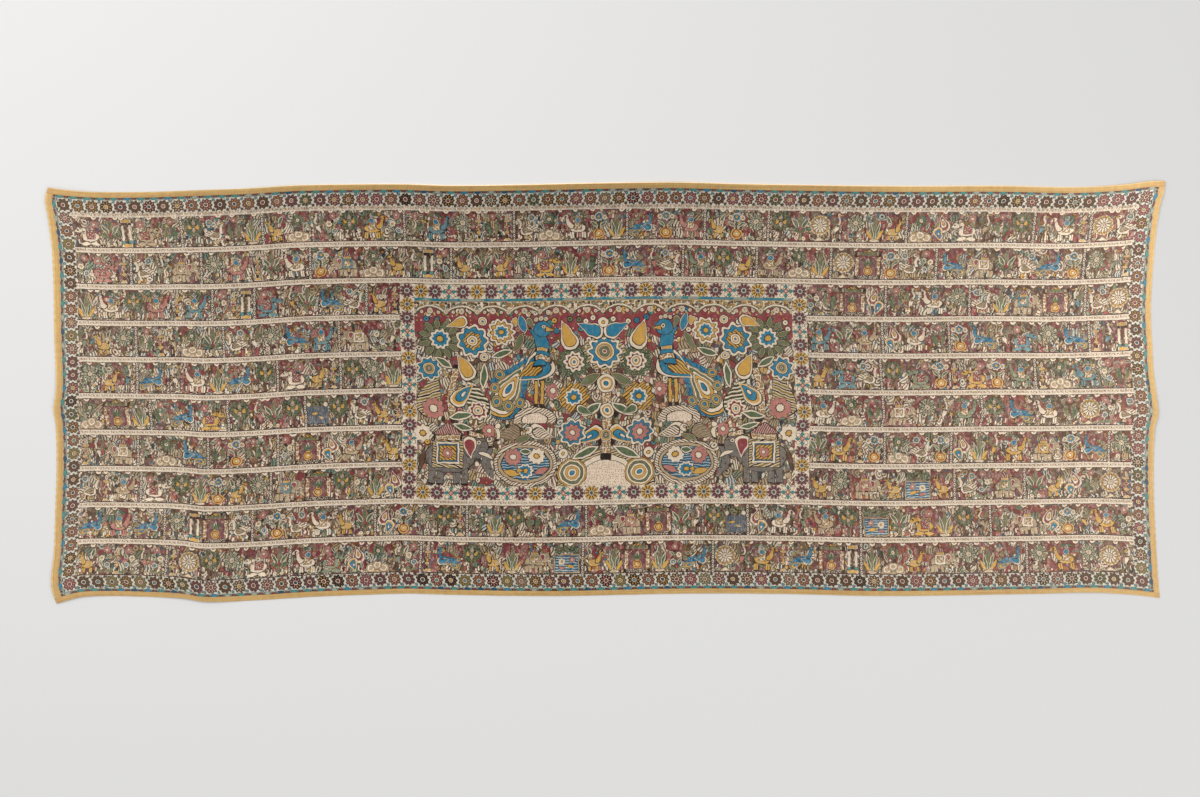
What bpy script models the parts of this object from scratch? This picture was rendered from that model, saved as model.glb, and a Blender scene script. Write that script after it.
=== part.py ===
"""Kalamkari panel: one long painted cotton cloth that lies flat, face up.

Metres, +Z up. The long edges run along X and the top of the design is at +Y.
The underside lies on Z = 0, and the middle of the cloth's box is over the origin.
"""

import math

import bpy

# Driving sizes: the cloth as it was cut and hemmed, before it was laid down unevenly.
LENGTH = 3.187
WIDTH = 1.186

# The cloth is one thickness in the field and two where the hem is turned over.
FIELD_THICKNESS = 0.0015
HEM_THICKNESS = 0.0024
HEM_WIDTH = 0.020
HEM_STEP = 0.006

# Cells of the cloth between the inner lines of the hems.
FIELD_COLUMNS = 84
FIELD_ROWS = 36

CLOTH_COLOUR = (0.27, 0.19, 0.13, 1.0)
CLOTH_ROUGHNESS = 0.9

MM = 0.001

# How far each edge lies outside its straight line.
# Columns: place along the edge from its middle (m), distance outwards (mm).
TOP_EDGE = [
    (-1.594, -5), (-1.52, -14), (-1.44, -18), (-1.30, -17), (-1.16, -12), (-1.02, -7),
    (-0.87, 2), (-0.59, 5), (-0.45, 1), (-0.30, 2), (-0.02, 8), (0.20, 10), (0.41, 5),
    (0.84, -1), (1.12, 0), (1.34, -4), (1.48, 4), (1.55, 13), (1.594, 14),
]
BOTTOM_EDGE = [
    (-1.594, 24), (-1.52, 5), (-1.45, 2), (-1.37, 3), (-1.23, 9), (-1.16, 19), (-1.01, 14),
    (-0.87, 5), (-0.72, -1), (-0.58, -5), (-0.43, -1), (-0.15, 2), (0.22, -5), (0.51, -4),
    (0.79, 2), (1.23, -4), (1.40, -8), (1.52, -1), (1.594, 8),
]
LEFT_EDGE = [
    (-0.593, -5), (-0.56, 7), (-0.52, 10), (-0.45, 3), (-0.33, -1), (-0.20, -5), (-0.08, -2),
    (-0.04, 4), (0.02, -3), (0.10, -1), (0.17, 2), (0.31, 4), (0.42, 9), (0.51, 20),
    (0.56, 28), (0.593, 20),
]
RIGHT_EDGE = [
    (-0.593, 16), (-0.53, 10), (-0.44, 5), (-0.32, -1), (-0.21, -2), (-0.11, 1), (-0.07, 11),
    (-0.03, 8), (0.04, -1), (0.13, -6), (0.20, -10), (0.27, -9), (0.36, -3), (0.45, 5),
    (0.52, 15), (0.56, 26), (0.593, 32),
]

# Low ripples, where the uneven edges keep the cloth off the surface.
# Columns: centre x and y (m), half length and half width (m), turn (degrees), lift (mm).
RIPPLES = [
    (-1.50, 0.50, 0.26, 0.15, -40, 6),
    (-1.47, 0.00, 0.30, 0.14, 4, 5),
    (-1.17, -0.50, 0.28, 0.15, 78, 5),
    (-1.52, -0.51, 0.22, 0.13, 35, 4),
    (-0.95, 0.50, 0.24, 0.16, 84, 3),
    (0.18, 0.49, 0.26, 0.17, 92, 4),
    (1.46, -0.07, 0.32, 0.14, -5, 5),
    (1.47, 0.48, 0.28, 0.15, 42, 6),
    (1.38, -0.50, 0.24, 0.15, 96, 3),
]


def smooth_between(table, place):
    """Read a two-column table at a place, with a smooth curve through its rows."""
    last = len(table) - 1
    row = 0
    while row < last - 1 and place > table[row + 1][0]:
        row += 1
    start, start_value = table[row]
    end, end_value = table[row + 1]
    before, before_value = table[max(row - 1, 0)]
    after, after_value = table[min(row + 2, last)]
    span = end - start
    start_slope = (end_value - before_value) / (end - before)
    end_slope = (after_value - start_value) / (after - start)
    part = min(max((place - start) / span, 0.0), 1.0)
    part2 = part * part
    part3 = part2 * part
    return (
        (2 * part3 - 3 * part2 + 1) * start_value
        + (part3 - 2 * part2 + part) * span * start_slope
        + (3 * part2 - 2 * part3) * end_value
        + (part3 - part2) * span * end_slope
    )


def plan_place(along, across):
    """Where a point of the cut cloth lies, seen from above."""
    right_share = along / LENGTH + 0.5
    top_share = across / WIDTH + 0.5
    left = -LENGTH / 2 - smooth_between(LEFT_EDGE, across) * MM
    right = LENGTH / 2 + smooth_between(RIGHT_EDGE, across) * MM
    bottom = -WIDTH / 2 - smooth_between(BOTTOM_EDGE, along) * MM
    top = WIDTH / 2 + smooth_between(TOP_EDGE, along) * MM
    x = left + (right - left) * right_share
    y = bottom + (top - bottom) * top_share
    return x, y


def hump(distance):
    """A soft rise from 0 at a distance of 1 to 1 at the middle."""
    if distance >= 1.0:
        return 0.0
    return math.cos(distance * math.pi / 2) ** 2


def lift_at(along, across):
    """How far the underside stands off the surface."""
    lift = 0.0
    for centre_x, centre_y, half_length, half_width, turn, height in RIPPLES:
        angle = math.radians(turn)
        dx = along - centre_x
        dy = across - centre_y
        lengthwise = abs(dx * math.cos(angle) + dy * math.sin(angle)) / half_length
        sideways = abs(dy * math.cos(angle) - dx * math.sin(angle)) / half_width
        lift = max(lift, height * MM * hump(lengthwise) * hump(sideways))
    return lift


def stations(size, cells):
    """Places of the grid's lines: both hems, the step inside each, and even cells between."""
    edge = size / 2
    fold = edge - HEM_WIDTH
    field = fold - HEM_STEP
    inner = [-field + 2 * field * step / cells for step in range(cells + 1)]
    return [-edge, -fold] + inner + [fold, edge]


def shape_cloth(cloth, columns, rows):
    """Move a flat grid's points to where the cloth lies, and return the hem's points."""
    column_count = len(columns) - 1
    row_count = len(rows) - 1
    hem_points = []
    for vertex in cloth.data.vertices:
        column = round((vertex.co.x + 0.5) * column_count)
        row = round((vertex.co.y + 0.5) * row_count)
        along = columns[column]
        across = rows[row]
        x, y = plan_place(along, across)
        vertex.co = (x, y, lift_at(along, across))
        if min(column, column_count - column) < 2 or min(row, row_count - row) < 2:
            hem_points.append(vertex.index)
    return hem_points


def centre_over_origin(cloth):
    """Put the middle of the cloth's box over the origin."""
    xs = [vertex.co.x for vertex in cloth.data.vertices]
    ys = [vertex.co.y for vertex in cloth.data.vertices]
    middle_x = (min(xs) + max(xs)) / 2
    middle_y = (min(ys) + max(ys)) / 2
    for vertex in cloth.data.vertices:
        vertex.co.x -= middle_x
        vertex.co.y -= middle_y


def thicken(cloth, hem_points):
    """Give the sheet its thickness, with more at the hem."""
    hem = cloth.vertex_groups.new(name="hem")
    hem.add(hem_points, 1.0, "REPLACE")
    solidify = cloth.modifiers.new("thickness", "SOLIDIFY")
    solidify.thickness = HEM_THICKNESS
    solidify.offset = 1.0
    solidify.vertex_group = hem.name
    solidify.thickness_vertex_group = FIELD_THICKNESS / HEM_THICKNESS


def cotton_material():
    """Dyed cotton, in the mean colour of the painted face."""
    material = bpy.data.materials.new("painted_cotton")
    material.use_nodes = True
    shader = material.node_tree.nodes["Principled BSDF"]
    shader.inputs["Base Color"].default_value = CLOTH_COLOUR
    shader.inputs["Roughness"].default_value = CLOTH_ROUGHNESS
    shader.inputs["Metallic"].default_value = 0.0
    return material


def make_cloth(collection):
    """The whole panel: its field and the hem turned over on all four sides."""
    columns = stations(LENGTH, FIELD_COLUMNS)
    rows = stations(WIDTH, FIELD_ROWS)
    bpy.ops.mesh.primitive_grid_add(
        x_subdivisions=len(columns) - 1, y_subdivisions=len(rows) - 1, size=1.0
    )
    cloth = bpy.context.object
    cloth.name = "cloth"
    for holder in list(cloth.users_collection):
        holder.objects.unlink(cloth)
    collection.objects.link(cloth)
    hem_points = shape_cloth(cloth, columns, rows)
    centre_over_origin(cloth)
    thicken(cloth, hem_points)
    cloth.data.materials.append(cotton_material())
    cloth.data.shade_smooth()


def main():
    """Clear the scene and build the panel in its own collection."""
    for old in list(bpy.data.objects):
        bpy.data.objects.remove(old, do_unlink=True)
    collection = bpy.data.collections.new("kalamkari_panel")
    bpy.context.scene.collection.children.link(collection)
    make_cloth(collection)


main()
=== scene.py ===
"""Kalamkari panel: a long cotton cloth with drawn and dyed ornament, lying flat, face up.

Metres, +Z up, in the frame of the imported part. Sizes inside the ornament are in millimetres.
The cloth is one mesh on a grid. Each face carries the material of what is drawn there, and
a UV map in millimetres from the middle of its motif.
"""

import math
import random
from dataclasses import dataclass
from functools import partial

import bpy
import numpy as np
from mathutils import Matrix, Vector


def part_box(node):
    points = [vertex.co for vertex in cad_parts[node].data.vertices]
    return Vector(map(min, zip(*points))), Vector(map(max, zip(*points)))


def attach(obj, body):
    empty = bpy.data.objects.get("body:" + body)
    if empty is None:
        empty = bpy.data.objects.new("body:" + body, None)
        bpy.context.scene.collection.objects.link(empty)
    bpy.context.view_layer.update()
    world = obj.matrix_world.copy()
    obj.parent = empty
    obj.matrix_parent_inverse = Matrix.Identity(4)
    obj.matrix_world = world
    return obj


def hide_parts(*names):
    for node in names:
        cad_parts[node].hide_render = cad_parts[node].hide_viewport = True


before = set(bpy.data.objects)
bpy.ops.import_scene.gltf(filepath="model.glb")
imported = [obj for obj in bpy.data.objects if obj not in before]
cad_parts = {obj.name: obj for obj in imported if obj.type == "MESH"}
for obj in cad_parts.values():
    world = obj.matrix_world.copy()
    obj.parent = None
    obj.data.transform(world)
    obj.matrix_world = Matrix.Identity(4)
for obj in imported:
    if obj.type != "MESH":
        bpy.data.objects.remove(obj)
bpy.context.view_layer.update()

MM = 0.001

# The cloth as it was cut and hemmed (m).
LENGTH = 3.187
WIDTH = 1.186
FIELD_THICKNESS = 0.0015
HEM_THICKNESS = 0.0024

# The rolled edge: its width (mm), its share of the hem's thickness, and its bulge (m).
EDGE_ROLL = 2.5
ROLLED_SHARE = 0.72
RIM_BULGE = 0.0006

# Zones of the design along the cloth from its left edge, and across it below and above the
# registers, from its bottom edge up. Columns: zone, size (mm), grid cells.
MARGIN_CELLS = 3
REGISTER_COLUMNS = 92
PANEL_COLUMNS = 108
ALONG_ZONES = [
    ("margin", 20.0, MARGIN_CELLS),
    ("bead", 11.0, 1),
    ("rosette", 38.0, 4),
    ("register", 936.0, REGISTER_COLUMNS),
    ("frame", 42.0, 4),
    ("panel", 1098.0, PANEL_COLUMNS),
    ("frame", 42.0, 4),
    ("register", 936.0, REGISTER_COLUMNS),
    ("rosette", 38.0, 4),
    ("bead", 11.0, 1),
    ("margin", 15.0, MARGIN_CELLS),
]
BOTTOM_ZONES = [
    ("margin", 14.0, MARGIN_CELLS),
    ("bead", 8.5, 1),
    ("rosette", 38.0, 4),
]
TOP_ZONES = [
    ("band", 12.0, 1),
    ("rosette", 38.0, 4),
    ("bead", 8.0, 1),
    ("margin", 16.5, MARGIN_CELLS),
]

# The registers, with a band between each two (mm). The lowest is a little higher.
REGISTER_COUNT = 10
REGISTER_ROWS = 9
REGISTER_HEIGHT = 90.2
LOWEST_REGISTER_HEIGHT = 91.0
BAND_ROWS = 2
BAND_HEIGHT = 16.5

# What repeats along a register, and where, from the register's middle up (mm).
UPRIGHT_PITCH = 31.0
FESTOON_PITCH = 54.0
FESTOON_HEIGHT = 47.5
FLOOR_LINE_HEIGHT = -43.6

# The centre panel in its frame takes the middle of these registers, counted from the lowest.
FRAME_ROWS = 4
BLUE_BAND_ROWS = 1
CANOPY_ROWS = 4
PANEL_FIRST_REGISTER = 2
PANEL_LAST_REGISTER = 7

# Above this height on the cloth the panel's ground is plain dye (mm).
PLAIN_GROUND_FROM = 748.0

# Fixes the random order of the motifs in the registers.
FIELD_SEED = 41

# The length of one cell of each border (mm).
BEAD_CELL = 38.0
ROSETTE_CELL = 39.5
FRAME_CELL = 40.8
CANOPY_CELL = 91.5

# How many cells the frame has up a side and along its top, and how many the canopy has.
FRAME_COUNT_UP = 14
FRAME_COUNT_ALONG = 29
CANOPY_COUNT = 12

# How far each edge lies outside its straight line.
# Columns: place along the edge from its middle (m), distance outwards (mm).
TOP_EDGE = [
    (-1.594, -5), (-1.52, -14), (-1.44, -18), (-1.30, -17), (-1.16, -12), (-1.02, -7),
    (-0.87, 2), (-0.59, 5), (-0.45, 1), (-0.30, 2), (-0.02, 8), (0.20, 10), (0.41, 5),
    (0.84, -1), (1.12, 0), (1.34, -4), (1.48, 4), (1.55, 13), (1.594, 14),
]
BOTTOM_EDGE = [
    (-1.594, 24), (-1.52, 5), (-1.45, 2), (-1.37, 3), (-1.23, 9), (-1.16, 19), (-1.01, 14),
    (-0.87, 5), (-0.72, -1), (-0.58, -5), (-0.43, -1), (-0.15, 2), (0.22, -5), (0.51, -4),
    (0.79, 2), (1.23, -4), (1.40, -8), (1.52, -1), (1.594, 8),
]
LEFT_EDGE = [
    (-0.593, -5), (-0.56, 7), (-0.52, 10), (-0.45, 3), (-0.33, -1), (-0.20, -5), (-0.08, -2),
    (-0.04, 4), (0.02, -3), (0.10, -1), (0.17, 2), (0.31, 4), (0.42, 9), (0.51, 20),
    (0.56, 28), (0.593, 20),
]
RIGHT_EDGE = [
    (-0.593, 16), (-0.53, 10), (-0.44, 5), (-0.32, -1), (-0.21, -2), (-0.11, 1), (-0.07, 11),
    (-0.03, 8), (0.04, -1), (0.13, -6), (0.20, -10), (0.27, -9), (0.36, -3), (0.45, 5),
    (0.52, 15), (0.56, 26), (0.593, 32),
]

# The end hems pucker between their stitches (m).
PUCKER = 0.0012
PUCKER_PITCH = 0.021
PUCKER_REACH = 0.55

# Low ripples, where the uneven edges keep the cloth off the surface.
# Columns: centre x and y (m), half length and half width (m), turn (degrees), lift (mm).
RIPPLES = [
    (-1.50, 0.50, 0.26, 0.15, -40, 6),
    (-1.47, 0.00, 0.30, 0.14, 4, 5),
    (-1.17, -0.50, 0.28, 0.15, 78, 5),
    (-1.52, -0.51, 0.22, 0.13, 35, 4),
    (-0.95, 0.50, 0.24, 0.16, 84, 3),
    (0.18, 0.49, 0.26, 0.17, 92, 4),
    (1.46, -0.07, 0.32, 0.14, -5, 5),
    (1.47, 0.48, 0.28, 0.15, 42, 6),
    (1.38, -0.50, 0.24, 0.15, 96, 3),
]

# Slack in the cloth. Columns: waves a metre along and across, phase (radians), lift (mm).
SLACK = [
    (5.1, 3.7, 0.4, 0.30),
    (-8.3, 5.9, 1.9, 0.22),
    (13.0, 9.1, 4.2, 0.16),
    (-6.7, 17.3, 2.7, 0.14),
]

# The hem's stitches (mm). They lie inside the hem's inner edge.
STITCH_PITCH = 9.0
STITCH_LENGTH = 4.6
STITCH_WIDTH = 1.0
STITCH_HEIGHT = 0.5
STITCH_INSET = 3.0
STITCH_SINK = 0.4
STITCH_SEED = 7

# Each stitch is a point, two rings of points and a point.
RING_POINTS = 4
STITCH_POINTS = 2 * RING_POINTS + 2

# Dye colours, as they look in daylight.
DYES = {
    "chalk": (240, 222, 198),
    "cream": (238, 217, 189),
    "pale": (214, 207, 188),
    "sand": (188, 162, 128),
    "ochre": (214, 164, 78),
    "mustard": (170, 126, 62),
    "olive": (112, 117, 82),
    "leaf": (88, 105, 74),
    "moss": (136, 144, 116),
    "sky": (44, 126, 154),
    "deep": (38, 80, 106),
    "teal": (66, 138, 134),
    "mist": (96, 140, 146),
    "duck": (158, 163, 148),
    "brick": (146, 64, 67),
    "wine": (124, 76, 80),
    "plum": (138, 90, 94),
    "rose": (190, 124, 112),
    "brown": (46, 33, 28),
    "umber": (98, 70, 52),
    "grey": (122, 116, 108),
    "hem": (218, 181, 114),
    # A painted highlight for the hem's rolled outer fold, not a dye.
    "hem_highlight": (236, 205, 142),
    "hem_dark": (192, 147, 90),
}

# Width of the dark line round each shape, in the registers and in the centre panel (mm).
PEN_LINE = 1.1
PANEL_LINE = 1.9

# The cloth is painted darkest at this share of the length. From there to both ends its brightness
# rises with the square and the fourth power of the distance, and more cream is mixed in: partly
# painted light and shade, partly faded dye.
DARKEST_AT = 0.41
DARKEST_BRIGHTNESS = 0.77
SQUARE_RISE = 1.36
FOURTH_RISE = 1.6
END_LIGHT_AND_FADE = 0.30

# The threads' pitch and the grain of the mottled dye and of its faded patches (m), and how many
# streaks there are in a metre along and across the threads.
THREAD_PITCH = 0.0011
MOTTLE_GRAIN = 0.014
FADE_GRAIN = 0.33
STREAKS_ALONG = 26
STREAKS_ACROSS = 900

# Share of plain ground among a register's penwork: at the left end, how much more at the right
# end, and how much more for each mm up. Registers also darken by a share for each mm up.
GROUND_SHARE = 0.17
GROUND_RISE = 0.4
GROUND_RISE_UP = 0.0034
DARKER_UP = 0.0052

# The hem's folds lie this far from its middle (mm).
HEM_FOLD = 5.6

# Shares of the baked map's height that the face, the back and the rim take, and of its width.
BAKED_FACE = (0.275, 0.985)
BAKED_BACK = (0.005, 0.265)
BAKED_RIM = (0.992, 0.998)
BAKED_SIDES = (0.005, 0.995)

# The photograph's scale and middles, for a camera straight over the cloth.
PHOTO_WIDTH_PX = 1200
METRES_PER_PX = 0.0029
CLOTH_MIDDLE_PX = (605.15, 392.25)
PHOTO_MIDDLE_PX = (600.0, 398.5)
CAMERA_HEIGHT = 7.0
SENSOR_MM = 36.0

# The studio's floor, just under the cloth (m), and its sky.
FLOOR_SIZE = 30.0
FLOOR_HEIGHT = -0.0004
FLOOR_COLOUR = (0.78, 0.77, 0.75, 1)
SKY_COLOUR = (0.97, 0.98, 1.0, 1)
SKY_STRENGTH = 0.62

# Soft studio lamps. Columns: name, place (m), size (m), power (W), turn (degrees).
LAMPS = [
    ("key", (-3.2, 3.0, 4.2), (3.6, 3.6), 150, (-34, -36, 0)),
    ("fill", (3.4, -2.4, 4.4), (4.0, 4.0), 70, (28, 36, 0)),
]

# Dyes that are picked from place to place. A name that comes twice is picked twice as often.
GROUND_DYES = ["brick", "wine", "brick", "brick", "umber"]
CHOICE_DYES = ["cream", "sand", "cream", "ochre", "mist", "moss", "cream", "rose"]
STROKE_DYES = ["cream", "umber", "sand", "cream", "wine", "moss", "cream", "brown", "sand", "mist",
               "cream", "brown", "rose", "cream", "umber", "moss", "cream", "ochre", "cream", "brick"]
FOLD_DYES = ["cream", "sand", "cream", "moss", "cream", "pale", "sand"]
TINT_DYES = ["sand", "moss", "ochre", "rose", "olive", "teal", "cream", "sky", "moss", "sand"]
BEAD_DYES = ["cream", "ochre", "cream", "sky", "rose", "cream", "olive", "teal"]
PETAL_DYES = ["umber", "wine", "brown", "olive", "umber", "wine", "umber", "wine"]
RING_DYES = ["mustard", "umber", "rose", "mustard", "sand", "umber"]
HEART_DYES = ["brick", "deep", "ochre", "rose", "mist", "brick"]

# Inks in rings. Columns: where a ring begins, as a share of the way out, and its dye.
RINGS = {
    "blossom": [(0, "ochre"), (0.3, "brown"), (0.42, "cream")],
    "rose_blossom": [(0, "cream"), (0.34, "brown"), (0.44, "rose")],
    "sky_blossom": [(0, "ochre"), (0.3, "brown"), (0.4, "sky"), (0.75, "cream")],
    "festoon": [(0, "ochre"), (0.36, "brown"), (0.48, "cream")],
    "target": [(0, "sky"), (0.2, "brown"), (0.28, "cream"), (0.5, "ochre"), (0.66, "brown"),
               (0.72, "cream")],
    "wheel": [(0, "brick"), (0.16, "cream"), (0.24, "brown"), (0.3, "olive"), (0.5, "brown"),
              (0.55, "sand"), (0.72, "brown"), (0.76, "ochre"), (0.9, "cream")],
    "eye": [(0, "brown"), (0.5, "cream")],
    "halo": [(0, "rose"), (0.66, "brown"), (0.76, "cream")],
    "wine_heart": [(0, "brown"), (0.3, "grey"), (0.62, "brown"), (0.72, "pale")],
    "arch": [(0, "olive"), (0.915, "umber"), (0.93, "cream")],
    "paisley": [(0, "ochre"), (0.22, "brown"), (0.3, "cream"), (0.52, "brown"), (0.58, "brick"),
                (0.8, "cream")],
    "blue_paisley": [(0, "cream"), (0.2, "brown"), (0.28, "sky"), (0.62, "brown"),
                     (0.68, "ochre"), (0.86, "cream")],
    "banded": [(0, "sky"), (0.14, "brown"), (0.18, "cream"), (0.3, "brown"), (0.33, "ochre"),
               (0.46, "brown"), (0.49, "cream"), (0.6, "brown"), (0.63, "olive"), (0.76, "brown"),
               (0.79, "cream"), (0.9, "brown"), (0.93, "ochre")],
    "plume": [(0, "sky"), (0.3, "deep"), (0.44, "ochre"), (0.66, "leaf"), (0.84, "sand")],
    "pot": [(0, "cream"), (0.2, "brown"), (0.26, "ochre"), (0.6, "brown"), (0.66, "brick"),
            (0.8, "ochre")],
    "edged_olive": [(0, "olive"), (0.72, "brown"), (0.8, "sand")],
    "edged_leaf": [(0, "leaf"), (0.66, "cream")],
    "edged_sky": [(0, "sky"), (0.8, "brown"), (0.85, "cream")],
    "edged_ochre": [(0, "ochre"), (0.76, "brown"), (0.82, "cream")],
    "edged_brick": [(0, "brick"), (0.76, "cream")],
    "hill": [(0, "sand"), (0.4, "umber"), (0.46, "cream"), (0.74, "umber"), (0.8, "sand")],
    "parrot": [(0, "leaf"), (0.7, "olive"), (0.86, "cream")],
}

# Inks with fine drawing in them. Columns: texture, grain (mm), turn (degrees), rings.
PATTERNS = {
    "folds": ("lines", 6.5, 62, [(0, "umber"), (0.34, "cream")]),
    "fine_folds": ("lines", 4.2, 78, [(0, "brown"), (0.4, "sand")]),
    "wide_folds": ("lines", 15.0, 70, [(0, "brown"), (0.16, "cream"), (0.5, "umber"),
                                       (0.58, "ochre"), (0.86, "olive")]),
    "green_folds": ("lines", 11.0, 104, [(0, "brown"), (0.2, "olive"), (0.66, "umber"),
                                         (0.72, "cream")]),
    "ochre_folds": ("lines", 7.5, 48, [(0, "brown"), (0.24, "ochre")]),
    "brick_folds": ("lines", 6.0, 20, [(0, "wine"), (0.3, "brick"), (0.9, "cream")]),
    "water": ("lines", 7.5, 88, [(0, "deep"), (0.34, "sky"), (0.9, "pale")]),
    "slate": ("lines", 5.0, 0, [(0, "deep"), (0.5, "grey")]),
    "scales": ("cells", 9.0, 0, [(0, "sky"), (0.34, "sky"), (0.5, "deep")]),
    "leafy": ("cells", 8.5, 0, [(0, "cream"), (0.1, "leaf"), (0.46, "brown"), (0.56, "olive")]),
    "olive_leafy": ("cells", 7.0, 0, [(0, "sand"), (0.14, "olive"), (0.5, "brown")]),
    "spots": ("cells", 6.5, 0, [(0, "cream"), (0.2, "brown"), (0.28, "ochre")]),
    "dotted": ("cells", 7.0, 0, [(0, "rose"), (0.2, "cream")]),
    "hide": ("cells", 9.0, 0, [(0, "umber"), (0.06, "sand"), (0.6, "umber"), (0.68, "cream")]),
    "grey_hide": ("cells", 8.0, 0, [(0, "brown"), (0.08, "grey"), (0.62, "umber")]),
    "jewels": ("cells", 6.5, 0, [(0, "brick"), (0.14, "ochre"), (0.3, "brown"), (0.44, "cream")]),
    "brocade": ("cells", 6.0, 0, [(0, "cream"), (0.22, "brown"), (0.34, "brick")]),
    "check": ("cells", 4.0, 0, [(0, "cream"), (0.26, "brown")]),
}


@dataclass
class Shape:
    """One flat coloured shape, in mm and degrees.

    A leaf or bow may bend, but a drop's bend is not used; for a flower bend is its count of
    petals. A pair is mirrored at x = 0, and a shape may be repeated a number of times around a
    centre.
    """

    kind: str
    x: float
    y: float
    half_length: float
    half_width: float
    ink: str
    turn: float = 0
    bend: float = 0
    pair: bool = False
    around: int = 0
    centre: tuple = (0, 0)


disc = partial(Shape, "disc")
box = partial(Shape, "box")
leaf = partial(Shape, "leaf")
drop = partial(Shape, "drop")
bow = partial(Shape, "bow")
tooth = partial(Shape, "tooth")
flower = partial(Shape, "flower", bend=8)


def legs(xs, y, height, ink, lean=0, thickness=2.2):
    """Straight legs that stand at the given places."""
    return [box(x, y, thickness, height / 2, ink, turn=lean) for x in xs]


# Dark and pale uprights among the penwork of a register, repeated along it.
UPRIGHTS = [
    box(0, -20, 0.6, 20, "wine"),
    box(6, -28, 1.4, 11, "cream"),
    bow(-5, -14, 9, 0.9, "cream", turn=52, bend=3),
]

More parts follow.
